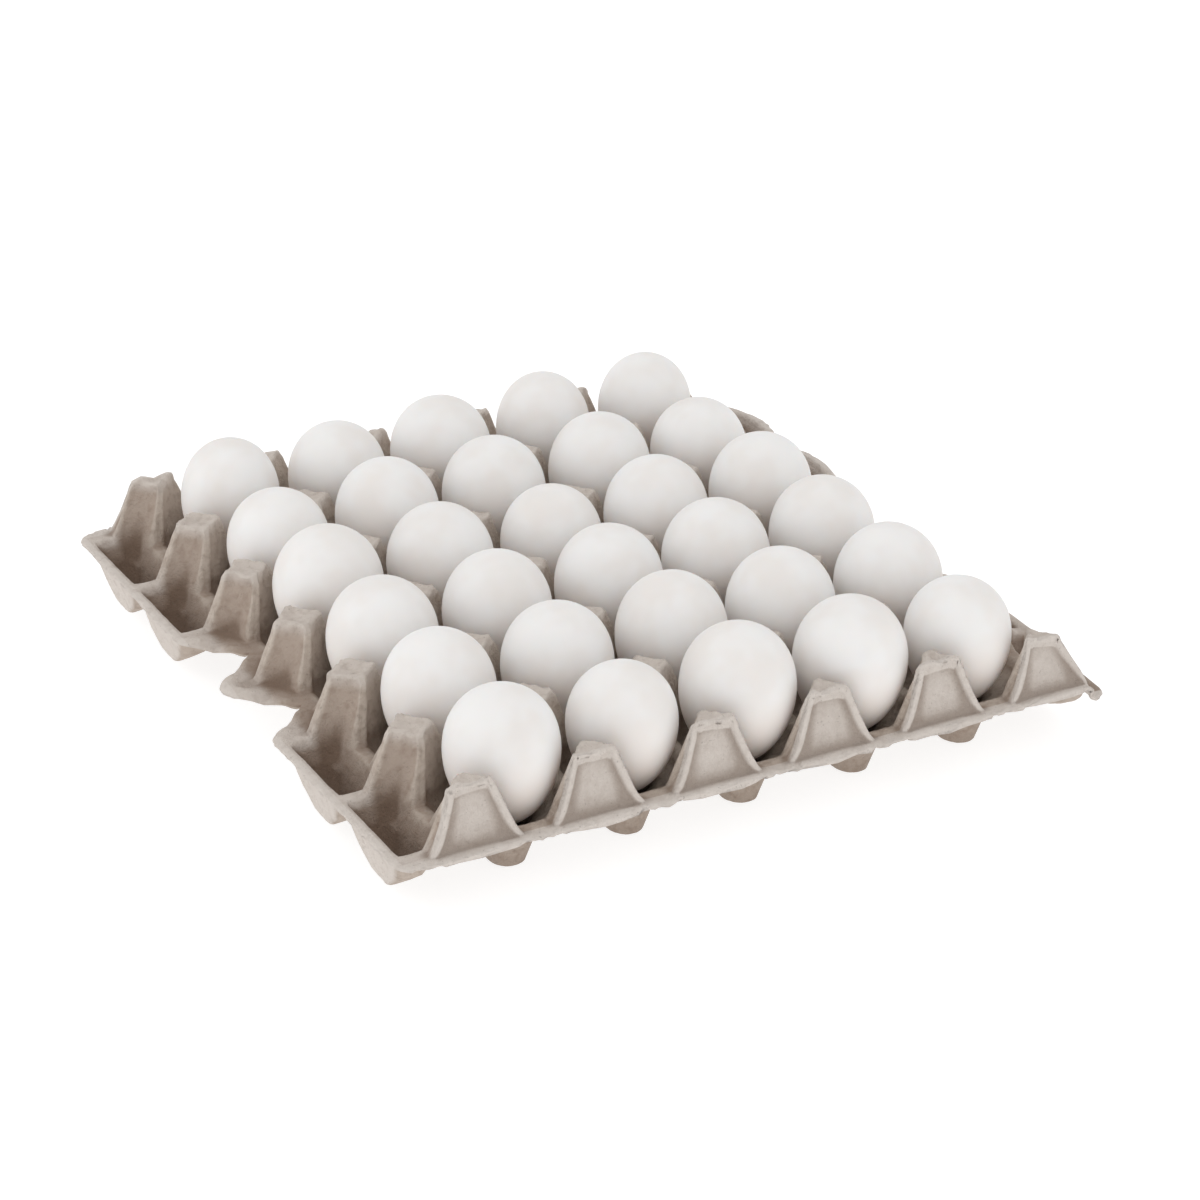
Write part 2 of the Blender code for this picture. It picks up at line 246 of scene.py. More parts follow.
# %% The sheet itself
class Sheet:
    def __init__(self):
        self.points = {}
        self.faces = []

    def point(self, place):
        key = tuple(round(value / SAME_PLACE) for value in place)
        return self.points.setdefault(key, (len(self.points), place))[0]

    def patch(self, place, across, down, frame=lambda u, v, z: (u, v, z)):
        """Faces between the points place(s, t), for each s across and each t down. frame puts
        those points in the tray, and the patch is turned to face up."""
        rows = [[frame(*place(s, t)) for s in across] for t in down]
        faces = []
        area = 0
        for upper, lower in zip(rows, rows[1:]):
            for k in range(len(across) - 1):
                loop = [upper[k], upper[k + 1], lower[k + 1], lower[k]]
                area += sum(p[0] * q[1] - q[0] * p[1] for p, q in zip(loop, loop[1:] + loop[:1]))
                corners = list(dict.fromkeys(self.point(p) for p in loop))
                if len(corners) > 2:
                    faces.append(corners)
        self.faces += faces if area > 0 else [face[::-1] for face in faces]

    def object(self, name):
        mesh = bpy.data.meshes.new(name)
        mesh.from_pydata([place for _, place in self.points.values()], [], self.faces)
        made = bpy.data.objects.new(name, mesh)
        bpy.context.scene.collection.objects.link(made)
        print(f"{name}: {len(mesh.vertices)} points, {len(mesh.polygons)} faces")
        return made


print("points less than", SAME_PLACE / MM, "mm apart count as one")

# %% [markdown]
# ## One corner of a cell
#
# Four posts stand round a cell, and each has the same part in it: a sloping face, half of the
# crest on either side, and a quarter of the bowl and the foot below. The whole inside of the
# tray is that one corner, turned and repeated, so it is modelled once. u and v are measured
# from the post's middle along the two rows of cells.
#
# Down each edge of a post runs a narrow strip that stands proud of the faces beside it, with a
# shallow groove in its middle. Only half of each strip belongs to one corner, and the corner
# next to it has the other half.
#
# Each sloping face is scooped out a little, where the mould leaves room for the egg's side.
# The scoop is round about the cell's middle, so a point on the face is moved out to the
# scoop's radius at its level wherever the flat face is nearer than that.

# %% Rows and columns of a post's face, close together beside its edges
FACE_ROWS = [0, 0.04, 0.09, 0.13, 0.24, 0.36, 0.48, 0.6, 0.72, 0.84, 0.94, 1]
LOWER_COLUMNS = [0, 0.07, 0.21, 0.36, 0.5, 0.64, 0.79, 0.93, 1]
STRIP = CREST_HALF / RIDGE_REACH
FACE_COLUMNS = [0, STRIP / 2, *(mix(STRIP, 1 - STRIP, c) for c in LOWER_COLUMNS)]
FACE_COLUMNS += [1 - STRIP / 2, 1]
print(f"a post's face is cut into {len(FACE_COLUMNS) - 1} columns and {len(FACE_ROWS) - 1} rows")

# %% The face, sunk below its top edge and scooped out
RECESS = 0.6 * MM
SCOOP_LOW = 15.8 * MM
SCOOP_HIGH = 33.0 * MM
SCOOP_NARROW = 18.0 * MM
SCOOP_WIDE = 23.3 * MM
SCOOP_CURVE = 0.45


def scooped(u, v, z):
    """A point of the face, moved out from the cell's middle to the scoop's radius."""
    rise = (z - SCOOP_LOW) / (SCOOP_HIGH - SCOOP_LOW)
    if not 0 < rise < 1:
        return u, v, z
    radius = mix(SCOOP_NARROW, SCOOP_WIDE, rise**SCOOP_CURVE)
    stretch = max(1, radius / math.hypot(HALF - u, HALF - v))
    return HALF - (HALF - u) * stretch, HALF - (HALF - v) * stretch, z


def recessed(u, v, z, down):
    """A point of the face, sunk a little below its top edge."""
    sunk = min(1, max(0, (down - FACE_ROWS[1]) / (FACE_ROWS[3] - FACE_ROWS[1])))
    depth = RECESS * sunk * math.sqrt(0.5)
    return scooped(u - depth, v - depth, z)


print(f"the scoop is {2 * SCOOP_NARROW / MM:.0f} mm across at its foot, {2 * SCOOP_WIDE / MM:.0f} above")

# %% The strip down an edge, and the face between two strips
PROUD = 1.5 * MM
GROOVE = 1.0 * MM
GROOVE_END = 0.2
STRIP_SHARE = STRIP * 1.001


def strip(across, down):
    """Half of the flat strip down a post's edge. across is 0 in its middle, where a shallow
    groove runs down it, and 1 where it stands proud of the face."""
    size = mix(TIP_REACH, RIDGE_REACH, down) / RIDGE_REACH
    groove = GROOVE * max(0, 1 - 2 * across) * min(1, (1 - down) / GROOVE_END)
    u = (RIDGE_REACH - CREST_HALF + PROUD - groove) * size
    return u, CREST_HALF * size * across, mix(POST_TOP, RIM, down)


RIDGE_TOP = strip(0, 0)[0]
RIDGE_FOOT = strip(0, 1)[0]


def post_face(share, down):
    """A quarter of a post's outside, from the middle of one strip to the middle of the next."""
    if share < STRIP_SHARE:
        return strip(share / STRIP, down)
    if 1 - share < STRIP_SHARE:
        u, v, z = strip((1 - share) / STRIP, down)
        return v, u, z
    reach = mix(TIP_REACH, RIDGE_REACH, down)
    return recessed(reach * (1 - share), reach * share, mix(POST_TOP, RIM, down), down)


print(f"a post is {2 * RIDGE_TOP / MM:.1f} mm across at its top, {2 * RIDGE_FOOT / MM:.1f} at the rim")


# %% Below the rim: the face narrows between two crests
def face_line(z):
    """One end of the face's width at this level, below the rim."""
    across = CREST_HALF + (RIM - z) / CREST_WALL_SLOPE
    return RIDGE_REACH + (RIM - z) / RIDGE_SLOPE - across, across


def crease(z):
    """Where the proud edge beside the face meets a crest's wall at this level."""
    along, across = face_line(z)
    return along + PROUD * max(0, (z - SHOULDER) / (RIM - SHOULDER)), across


def lower_face(share, z):
    """The face at this level, from one crest's wall to the other's."""
    if share in (0, 1):
        along, across = crease(z)
        return (across, along, z) if share else (along, across, z)
    along, across = face_line(z)
    return recessed(*mix((along, across), (across, along), share), z, 1)


def crest(along, across):
    """Half of the flat top of the crest that runs out from a post, to the next cell's edge."""
    u, v, z = strip(across, 1)
    return mix(u, HALF, along), v, z


def crest_wall(along, z):
    """The wall below the crest, which faces the cell."""
    start, across = crease(z)
    return mix(start, HALF, along), across, z


print(f"the face ends {(HALF - crease(SHOULDER)[0]) / MM:.1f} mm short of the cell's middle line")


# %% The bowl and the foot
def bowl_edge(share):
    """A quarter of the bowl's upper edge, from one crest's wall to the other's."""
    if share < 0.25:
        return crest_wall(1 - share * 4, SHOULDER)
    if share > 0.75:
        u, v, z = crest_wall(share * 4 - 3, SHOULDER)
        return v, u, z
    return lower_face(share * 2 - 0.5, SHOULDER)


def bowl(share, radius, z, inward):
    """From the bowl's edge, inward share 0, to a circle about the cell's middle, share 1."""
    u, v, edge_z = bowl_edge(share)
    far = math.hypot(HALF - u, HALF - v)
    near = mix(far, radius, inward) / far
    return HALF - (HALF - u) * near, HALF - (HALF - v) * near, mix(edge_z, z, inward)


def ring_to_foot(share, down):
    """The narrow part below the bowl, from the ring that the egg sits in to the foot."""
    radius = mix(RING_RADIUS, FOOT_RADIUS, down)
    return bowl(share, radius, 0, 1)[:2] + (mix(RING, FOOT_LEVEL, down),)


print(f"the foot is {2 * FOOT_RADIUS / MM:.1f} mm across")


# %% Put the corner together
def make_cell_corner():
    """The patches of one corner, from the post's top edge down to the middle of the foot."""
    sheet = Sheet()
    corner_columns = [n / 12 for n in range(3)]
    bowl_columns = corner_columns + [0.25 + c / 2 for c in LOWER_COLUMNS]
    bowl_columns += [1 - c for c in reversed(corner_columns)]
    levels = [mix(RIM, SHOULDER, t) for t in even(2)]
    sheet.patch(post_face, FACE_COLUMNS, FACE_ROWS)
    sheet.patch(lower_face, LOWER_COLUMNS, levels)
    for turned in (lambda place: place, swapped):
        sheet.patch(turned(crest), even(3), even(2))
        sheet.patch(turned(crest_wall), even(3), levels)
    sheet.patch(lambda s, t: bowl(s, RING_RADIUS, RING, t), bowl_columns, even(2))
    sheet.patch(ring_to_foot, bowl_columns, even(2))
    sheet.patch(lambda s, t: bowl(s, FOOT_RADIUS * (1 - t), FOOT_LEVEL, 1), bowl_columns, even(1))
    return sheet.object("cell corner")


cell_corner = make_cell_corner()

# %% [markdown]
# ## A post's top
#
# The top is a small square standing on its corner. The screen has dented it, so its edges
# stand a little proud of its middle. Rings run in from the edge to the middle, like a web.

# %% The dented square
DENT = 0.9 * MM
DENT_START = 0.5
TOP_RINGS = [0, 0.14, 0.4, 0.7, 1]


def top_place(share, inward):
    u, v, z = post_face(share, 0)
    dent = DENT * min(1, inward / DENT_START) ** 2
    return u * (1 - inward), v * (1 - inward), z - dent


def quarter_turns(u, v, z, turns):
    for _ in range(turns):
        u, v = -v, u
    return u, v, z


def make_post_top():
    sheet = Sheet()
    for turns in range(4):
        sheet.patch(
            top_place, FACE_COLUMNS, TOP_RINGS, lambda u, v, z: quarter_turns(u, v, z, turns)
        )
    return sheet.object("post top")


post_top = make_post_top()

# %% [markdown]
# ## The empty half cells at the sides
#
# Outside the outer posts, at both ends of a side, the tray has half cells that hold no egg.
# Each is a deep well: its inner half is shaped like any cell, a sloping outer wall shuts it,
# and it narrows to a foot that helps to carry the tray. A well is the same on both sides of
# its middle, so half of it is modelled from one post's point of view. It is drawn as a stack
# of level outlines that all have the same number of points, from the rim down to the floor.

# %% Sizes of the wells
WELL_WALL_TOP = 3.06 * PITCH - SIDE
WELL_WALL_FOOT = 2.965 * PITCH - SIDE
WELL_BEND = 12.0 * MM
SIDE_EDGE = 3.125 * PITCH - SIDE
WELL_FLOOR = 5.0 * MM
WELL_FOOT = 4.4 * MM
WELL_ROWS = [24.5, 23.4, 21.5, 19.5, 17.8, 16.6, 15.7, 14.6, 12, 10, 8, 6.2, 5]
OUTER_COLUMNS = even(5)
EIGHTH = math.tan(math.radians(22.5))
print(f"a well is {(WELL_WALL_TOP - WELL_WALL_FOOT) / MM:.1f} mm narrower at its foot than at the rim")


# %% A well's outline at any level


def well_outline(z):
    """Half a well's outline at this level: its inner wall, face, side wall and outer wall."""
    along, across = crease(max(z, WELL_BEND))
    level = max(z, WELL_BEND)
    wall = mix(WELL_WALL_FOOT, WELL_WALL_TOP, (z - WALL) / (RIM - WALL))
    inner = [(across, mix(HALF, along, t)) for t in even(3)]
    face = [lower_face(1 - t, level)[:2] for t in LOWER_COLUMNS]
    side = [mix((along, across), (wall, across), t) for t in OUTER_COLUMNS]
    outer = [mix((wall, across), (wall, HALF), t) for t in even(8)]
    if z < WELL_BEND:
        narrowing = (WELL_BEND - z) / (WELL_BEND - WELL_FLOOR)
        foot_u = HALF - FOOT_RADIUS
        foot_v = HALF - WELL_FOOT * EIGHTH
        tip = (wall, HALF - WELL_FOOT)
        inner = [mix(p, (foot_u, mix(HALF, foot_v, t)), narrowing) for p, t in zip(inner, even(3))]
        face = [mix(p, mix((foot_u, foot_v), tip, t), narrowing) for p, t in zip(face, LOWER_COLUMNS)]
        side = [mix(p, tip, narrowing) for p in side]
        outer = [mix(p, mix(tip, (wall, HALF), t), narrowing) for p, t in zip(outer, even(8))]
    return [(u, v, z) for u, v in inner + face[1:] + side[1:] + outer[1:]]


print(f"each outline has {len(well_outline(RIM))} points, and there are {len(WELL_ROWS)} of them")

# %% One half of a well
def half_well(sheet, post_y, toward, side):
    """The half well beside a side post: toward is the way from the post to the well's middle,
    along Y, and side the way out of the tray, along X."""

    def frame(u, v, z):
        return side * (SIDE + u), post_y + toward * v, z

    outlines = {z * MM: well_outline(z * MM) for z in WELL_ROWS}
    columns = range(len(outlines[RIM]))
    floor_middle = (mix(HALF - FOOT_RADIUS, WELL_WALL_FOOT, 0.5), HALF, WELL_FLOOR)
    sheet.patch(post_face, FACE_COLUMNS, FACE_ROWS, frame)
    sheet.patch(swapped(crest), even(3), even(2), frame)
    sheet.patch(lambda k, z: outlines[z][k], columns, list(outlines), frame)
    sheet.patch(lambda k, t: mix(outlines[WELL_FLOOR][k], floor_middle, t), columns, even(2), frame)

    def crest_to_wall(s, t):
        u, v, z = strip(t, 1)
        return mix(u, WELL_WALL_TOP, s), v, z

    rim_v = [0, CREST_HALF / 2] + [mix(CREST_HALF, HALF, t) for t in even(8)]
    sheet.patch(crest_to_wall, OUTER_COLUMNS, even(2), frame)
    sheet.patch(
        lambda s, v: (mix(WELL_WALL_TOP, SIDE_EDGE, s), v, RIM), even(2), rim_v, frame
    )


print(f"the rim beside a well is {(SIDE_EDGE - WELL_WALL_TOP) / MM:.1f} mm wide")

# %% [markdown]
# ## The finger notches
#
# Between the wells, the side has no half cells. A flat flange runs out from the three middle
# posts in round bulges, and a notch for a finger lies half way from one post to the next.
# The flange's rim is rolled up a little, and it sags into a trough beside each post.
#
# A bulge is the same on both sides of its post, so half of one is modelled. Its columns carry
# on from the post's own, and fan out a little so that none of them folds over the next.

# %% Sizes of the flange
BULGE_EDGE = 3.14 * PITCH - SIDE
NOTCH_EDGE = 3.8 * MM
FLANGE_ROWS = [
    (u - RIDGE_FOOT) / (SIDE_EDGE - RIDGE_FOOT)
    for u in [mix(RIDGE_FOOT, WELL_WALL_TOP, t) for t in OUTER_COLUMNS]
    + [mix(WELL_WALL_TOP, SIDE_EDGE, t) for t in (0.5, 1)]
]
FLANGE_ROLL = 1.5 * MM
FLANGE_TROUGH = 0.6 * MM
FLANGE_START = 6.0 * MM
STRIP_FLARE = 0.8 * MM
PIT_SIZE = 3.6 * MM
PITS = [(18.5 * MM, 12.0 * MM, 2.6 * MM), (7.5 * MM, HALF, 1.0 * MM)]
print(f"a notch cuts {(BULGE_EDGE - NOTCH_EDGE) / MM:.1f} mm into the flange")


# %% The flange's edge, and its hollows
EDGE_CURVE = 0.6
ROLL_START = 0.55
TROUGH_END = 0.7
PIT_START = 0.2


def swell(v):
    """1 beside the post and 0 in the middle of the notch."""
    return 0.5 + 0.5 * math.cos(math.pi * v / HALF)


def flange_edge(v, full):
    return mix(NOTCH_EDGE, mix(SIDE_EDGE, BULGE_EDGE, full), swell(v) ** EDGE_CURVE)


def flange_lift(u, v, outward, full):
    """How far the flange lies above the rim's level: its roll, less its trough and its pits."""
    full *= swell(v)
    lift = full * FLANGE_ROLL * math.sin(
        math.pi * min(1, max(0, (outward - ROLL_START) / (1 - ROLL_START)))
    )
    lift -= full * FLANGE_TROUGH * math.sin(math.pi * min(1, outward / TROUGH_END))
    pits = sum(d * math.exp(-(math.hypot(u - x, v - y) / PIT_SIZE) ** 2) for x, y, d in PITS)
    return lift - pits * min(1, outward / PIT_START)


print(f"half way to a notch the edge is {flange_edge(HALF / 2, 1) / MM:.1f} mm from the post's middle")

# %% One half of a bulge
FLARE_END = 0.15


def flange(share, outward, by_well):
    """share runs from the post's ridge round its face to the middle of the notch. Beside a
    well, the flange starts as flat and as narrow as the well's rim."""
    if share <= 1:
        start = post_face(share, 1)[:2]
        aside = STRIP_FLARE * max(0, 1 - (1 - share) / STRIP)
    else:
        start = (0, mix(RIDGE_FOOT, HALF, share - 1))
        aside = STRIP_FLARE * (2 - share)
    v = start[1] + aside * min(1, outward / FLARE_END)
    full = min(1, v / FLANGE_START) if by_well else 1
    u = mix(start[0], flange_edge(v, full), outward)
    return u, v, RIM + flange_lift(u, v, outward, full)


def half_bulge(sheet, post_y, toward, side):
    def frame(u, v, z):
        return side * (SIDE + u), post_y + toward * v, z

    by_well = abs(post_y) > PITCH / 2
    shares = FACE_COLUMNS + [1 + t for t in even(3)[1:]]
    sheet.patch(post_face, FACE_COLUMNS, FACE_ROWS, frame)
    sheet.patch(lambda s, t: flange(s, t, by_well), shares, FLANGE_ROWS, frame)


print(f"the flange has {len(FLANGE_ROWS)} rows of points, from the post out to its edge")

# %% [markdown]
# ## The closed half posts at the front and back
#
# Along the front and back edges the posts are cut in half, and a steep outer face shuts them.
# A narrow frame runs up both sides of that face and over its top, round a sunken panel, and
# the rim runs past below it. The narrow faces beside the frame are pleated, and their folds
# run down from the post's top to the rim.
#
# The outer face's columns are counted from its edge, k 0, to its middle, k 5. The panel starts
# at column 3, so the frame's step falls between two columns and stays sharp.

# %% The outer face and its sunken panel
FACE_FOOT = 0.1 * PITCH
FRONT_EDGE = 0.14 * PITCH
FRAME_WIDTH = 2.7 * MM
FRAME_STEP = 0.55 * MM
PANEL_DEPTH = 1.5 * MM
PANEL_TOP = FACE_ROWS[3]
PANEL_MIDDLE = 0.5625


def face_column(k, down):
    """How far from the post's middle the outer face's column k is, and how far it is sunk."""
    half = strip(0, down)[0]
    step = half - FRAME_WIDTH - FRAME_STEP
    column = [half, half - FRAME_WIDTH / 2, half - FRAME_WIDTH, step, step * PANEL_MIDDLE, 0][k]
    sunk = PANEL_DEPTH if k >= 3 and down >= PANEL_TOP else 0
    return column, sunk


def outer_face(k, down):
    column, sunk = face_column(k, down)
    return column, FACE_FOOT * down - sunk, mix(POST_TOP, RIM, down)


print(f"the panel is {2 * face_column(3, 1)[0] / MM:.1f} mm wide at its foot")

# %% The tops of the half posts
HALF_TOP_RINGS = [1 - face_column(k, 0)[0] / RIDGE_TOP for k in range(6)]
DENT_SPREAD = 0.3 * TIP_REACH


def half_top(share, inward):
    """A quarter of a post's top, with its dent kept off the edge that meets the outer face."""
    u, v, z = top_place(share, inward)
    return u, -v, mix(POST_TOP, z, min(1, v / DENT_SPREAD))


print(f"a half post's top has {len(HALF_TOP_RINGS)} rings, one for each column of its face")

# %% One half of a half post
PLEATS = [0, -0.7 * MM, 0.5 * MM, -0.7 * MM, 0]
PLEAT_TOP = 0.2
PLEAT_FOOT = 0.09


def half_front_post(sheet, post_x, side, front, beyond):
    """Half of the post's outer face, the pleats beside it, and the rim in front of both and
    on along the edge, to each distance in beyond."""

    def frame(u, w, z):
        return round_corner(post_x + side * u, front * (FRONT + w), z)

    def pleats(k, down):
        u, _, z = strip(0, down)
        fold = PLEATS[k] * min(1, down / PLEAT_TOP, (1 - down) / PLEAT_FOOT)
        return u + fold, FACE_FOOT * down * k / (len(PLEATS) - 1), z

    def below_face(k, t):
        u, w, z = outer_face(k, 1)
        return u, mix(w, FRONT_EDGE, t), z

    sheet.patch(half_top, FACE_COLUMNS, HALF_TOP_RINGS, frame)
    sheet.patch(outer_face, range(6), FACE_ROWS, frame)
    sheet.patch(pleats, range(len(PLEATS)), FACE_ROWS, frame)
    sheet.patch(below_face, range(6), even(2), frame)
    rim_w = [FACE_FOOT * t for t in even(len(PLEATS) - 1)]
    rim_w += [mix(FACE_FOOT, FRONT_EDGE, t) for t in (0.5, 1)]
    sheet.patch(lambda u, w: (u, w, RIM), [RIDGE_FOOT, *beyond], rim_w, frame)


print(f"{len(PLEATS) - 1} narrow faces fold beside each frame")

# %% [markdown]
# ## The whole border
#
# The border runs once round the tray: closed half posts along the front and back, half wells
# and bulges along the sides, and a rolled lip on its outer edge. At the corners the rim is
# rounded off. The lip follows the border's own open edge, so it needs no outline of its own.

# %% Round off the corners
CORNER_RADIUS = 6.5 * MM


def round_corner(x, y, z):
    """Squares become arcs about the centre of the corner's rounding."""
    dx = abs(x) - (SIDE + SIDE_EDGE - CORNER_RADIUS)
    dy = abs(y) - (FRONT + FRONT_EDGE - CORNER_RADIUS)
    if min(dx, dy) <= 0:
        return x, y, z
    shrink = 1 - max(dx, dy) / math.hypot(dx, dy)
    return x - math.copysign(dx * shrink, x), y - math.copysign(dy * shrink, y), z


print(f"the rim's corners are rounded to {CORNER_RADIUS / MM:.1f} mm")

# %% Build the border: the posts of a side, counted from the front, and the way each part faces
WELL_POSTS = [(0, 1), (1, -1), (1, 1), (2, -1), (4, 1), (5, -1), (5, 1), (6, -1)]
BULGE_POSTS = [(2, 1), (3, -1), (3, 1), (4, -1)]


def build_border():
    border = Sheet()
    crest_u = [mix(RIDGE_FOOT, HALF, t) for t in even(3)[1:]]
    corner_u = [mix(RIDGE_FOOT, WELL_WALL_TOP, t) for t in OUTER_COLUMNS[1:]]
    corner_u += [mix(WELL_WALL_TOP, SIDE_EDGE, t) for t in (0.5, 1)]
    for side in (-1, 1):
        for row, toward in WELL_POSTS:
            half_well(border, row * PITCH - FRONT, toward, side)
        for row, toward in BULGE_POSTS:
            half_bulge(border, row * PITCH - FRONT, toward, side)
        for front in (-1, 1):
            for column in range(COLUMNS + 1):
                at_corner = column == (COLUMNS if side > 0 else 0)
                post_x = column * PITCH - SIDE
                half_front_post(border, post_x, side, front, corner_u if at_corner else crest_u)
    return border


border = build_border()
print(f"the border before its lip: {len(border.points)} points, {len(border.faces)} faces")

# %% [markdown]
# ## The lip
#
# The screen that shapes the pulp leaves a soft lip outside the rim. It rolls over and hangs
# down a little, and along the front and back it hangs lowest below the posts. It could be
# extruded by hand, but the border already knows its outline: two more rows of points run
# round it, each moved out along the outline's own normal and down.

# %% Add the lip
LIP_STEPS = [(0.8 * MM, 0.3 * MM), (1.3 * MM, 1.3 * MM)]
FRONT_SAG = 2.2 * MM


def outline_loop(sheet, spots):
    """The open edge that goes round the outside, as points in order. An edge is open where
    only one face uses it."""
    edges = {(a, b) for face in sheet.faces for a, b in zip(face, face[1:] + face[:1])}
    following = {a: b for a, b in edges if (b, a) not in edges}
    start = max(following, key=lambda k: spots[k][0])
    loop = [start]
    while following[loop[-1]] != start:
        loop.append(following[loop[-1]])
    return loop


def add_lip(sheet):
    spots = [place for _, place in sheet.points.values()]
    loop = outline_loop(sheet, spots)
    edge = [Vector(spots[k]) for k in loop]
    inner = loop
    for out, drop in LIP_STEPS:
        outer = []
        for before, place, after in zip(edge[-1:] + edge, edge, edge[1:] + edge[:1]):
            along = (after - before).normalized()
            below_post = 0.5 + 0.5 * math.cos(2 * math.pi * (place.x + SIDE) / PITCH)
            sag = FRONT_SAG * abs(along.x) * below_post * (drop / LIP_STEPS[-1][1]) ** 2
            outer.append(
                sheet.point(tuple(place + Vector((along.y * out, -along.x * out, -drop - sag))))
            )
        for k in range(len(loop)):
            sheet.faces.append([inner[k], inner[k - 1], outer[k - 1], outer[k]])
        inner = outer
    print(f"the lip follows {len(loop)} points round the tray")


add_lip(border)
border_object = border.object("border")

# %% [markdown]
# ## The tray put together by rule
#
# The inside of the tray is the cell corner turned four ways about every post, and the post's
# top on every whole post. A grid of points, one to a post, holds the two pieces, and points
# on the border leave out the quarters that would stand outside. A Geometry Nodes tree does
# this, because the counts and the pitch are then its inputs: the inside follows from them.
# The border is built in Python above, so it keeps the counts that it was built with.

# %% Place a piece at each post
NEARLY_HALF = 0.49


def instances(graph, points, piece, turn, keep):
    """The piece at each point where keep is true, turned by this many quarter turns."""
    info = graph.add("GeometryNodeObjectInfo", None, {"Object": piece}, output="Geometry")
    return graph.add(
        "GeometryNodeInstanceOnPoints",
        None,
        {
            "Points": points,
            "Selection": keep,
            "Instance": info,
            "Rotation": (0, 0, turn * math.pi / 2),
        },
    )


def posts_grid(graph, pitch, columns, rows):
    return graph.add(
        "GeometryNodeMeshGrid",
        None,
        {
            "Size X": pitch * columns,
            "Size Y": pitch * rows,
            "Vertices X": columns + 1,
            "Vertices Y": rows + 1,
        },
    )


print("posts on the grid:", (COLUMNS + 1) * (ROWS + 1))


# %% The inside of the tray
def inside_of_tray(graph, pitch, columns, rows):
    """The repeated pieces, before they are joined to the border."""
    posts = posts_grid(graph, pitch, columns, rows)
    place = graph.add("GeometryNodeInputPosition")
    x = graph.add("ShaderNodeSeparateXYZ", None, {0: place})
    y = graph.also(x, 1)
    placed = []
    for turn in range(4):
        away_x, away_y = [(1, 1), (-1, 1), (-1, -1), (1, -1)][turn]
        in_row = x * away_x < pitch * columns * NEARLY_HALF
        keep = in_row * (y * away_y < pitch * rows * NEARLY_HALF)
        placed.append(instances(graph, posts, cell_corner, turn, keep))
    whole = y.math("ABSOLUTE") < pitch * rows * NEARLY_HALF
    placed.append(instances(graph, posts, post_top, 0, whole))
    return graph.add("GeometryNodeJoinGeometry", None, {"Geometry": placed})


print("corners to place:", 4 * COLUMNS * ROWS)

# %% [markdown]
# ## What drying does to the surface
#
# A mould is exact and pulp is not. Its folds come out a little round, and its surface swells
# into low waves with a finer felt on them. The tree averages neighbouring points for the one
# and moves points along their normals by a noise for the other. A bump in the material would
# be cheaper, but would leave the outline as straight as a ruler.

# %% Soften the folds
SOFTENING = 0.16
SOFTENING_ROUNDS = 2


def blurred_place(graph, rounds, share):
    """Each point's place, averaged with its neighbours' places this many times over."""
    place = graph.add("GeometryNodeInputPosition")
    settings = {"data_type": "FLOAT_VECTOR"}
    inputs = {"Value": place, "Iterations": rounds, "Weight": share}
    return graph.add("GeometryNodeBlurAttribute", settings, inputs)


def softened(graph, mesh, share):
    blurred = blurred_place(graph, SOFTENING_ROUNDS, share)
    return graph.add("GeometryNodeSetPosition", None, {"Geometry": mesh, "Position": blurred})


print(f"each point goes {SOFTENING:.0%} of the way to its neighbours, {SOFTENING_ROUNDS} times")

# %% Roughen the surface
WAVES = 0.45 * MM
WAVE_SIZE = 9 * MM
FELT = 0.22 * MM
FELT_SIZE = 2.2 * MM


def noise_height(graph, size, seed):
    """Noise from -1 to 1 whose lumps are about this wide."""
    settings = {"noise_dimensions": "4D"}
    inputs = {"W": seed, "Scale": 1 / size, "Detail": 3.0, "Roughness": 0.55}
    return graph.add("ShaderNodeTexNoise", settings, inputs) * 2 - 1


def roughened(graph, mesh, waves, felt, seed):
    height = noise_height(graph, WAVE_SIZE, seed) * waves + noise_height(graph, FELT_SIZE, seed) * felt
    normal = graph.add("GeometryNodeInputNormal")
    offset = graph.vector("SCALE", normal, scale=height)
    return graph.add("GeometryNodeSetPosition", None, {"Geometry": mesh, "Offset": offset})


print(f"waves of {WAVES / MM} mm, felt of {FELT / MM} mm")

# %% [markdown]
# ## What handling does to the shape
#
# A pulp tray is limp, so each one has its own sags and bends, and its edges get torn and its
# posts crumpled. Each of these is one short function that moves points, with a mask that says
# where it works: a product of smooth steps along X, Y and Z. They could be pulled by hand in
# Sculpt Mode, but as functions they can be changed one at a time, and they run again alike.
#
# The crests between two side posts lie further out than the posts' middles, and the front
# cells' feet reach forward of their bowls.

# %% Move the side crests out and the front feet forward
CREST_SHIFT = 5.5 * MM
FOOT_FORWARD = 3.5 * MM


def widened(graph, mesh, pitch, columns, rows, shift):
    """Between its posts, each side's inner crest lies further out than the posts' middles."""
    place = graph.add("GeometryNodeInputPosition")
    x = graph.add("ShaderNodeSeparateXYZ", None, {0: place})
    y, z = graph.also(x, 1), graph.also(x, 2)
    out = x.math("ABSOLUTE") - pitch * columns * 0.5
    near = out.between(-14 * MM, 0.0) * (1 - out.between(2 * MM, 22 * MM))
    part = (y / pitch + rows * 0.5).math("FRACT")
    apart = part.math("MINIMUM", 1 - part) * pitch
    below = ((POST_TOP - z) / (POST_TOP - RIM)).math("MINIMUM", 1.0)
    move = near * apart.between(5 * MM, 15 * MM) * below * shift * x.math("SIGN")
    offset = graph.join_xyz(move, 0.0, 0.0)
    return graph.add("GeometryNodeSetPosition", None, {"Geometry": mesh, "Offset": offset})


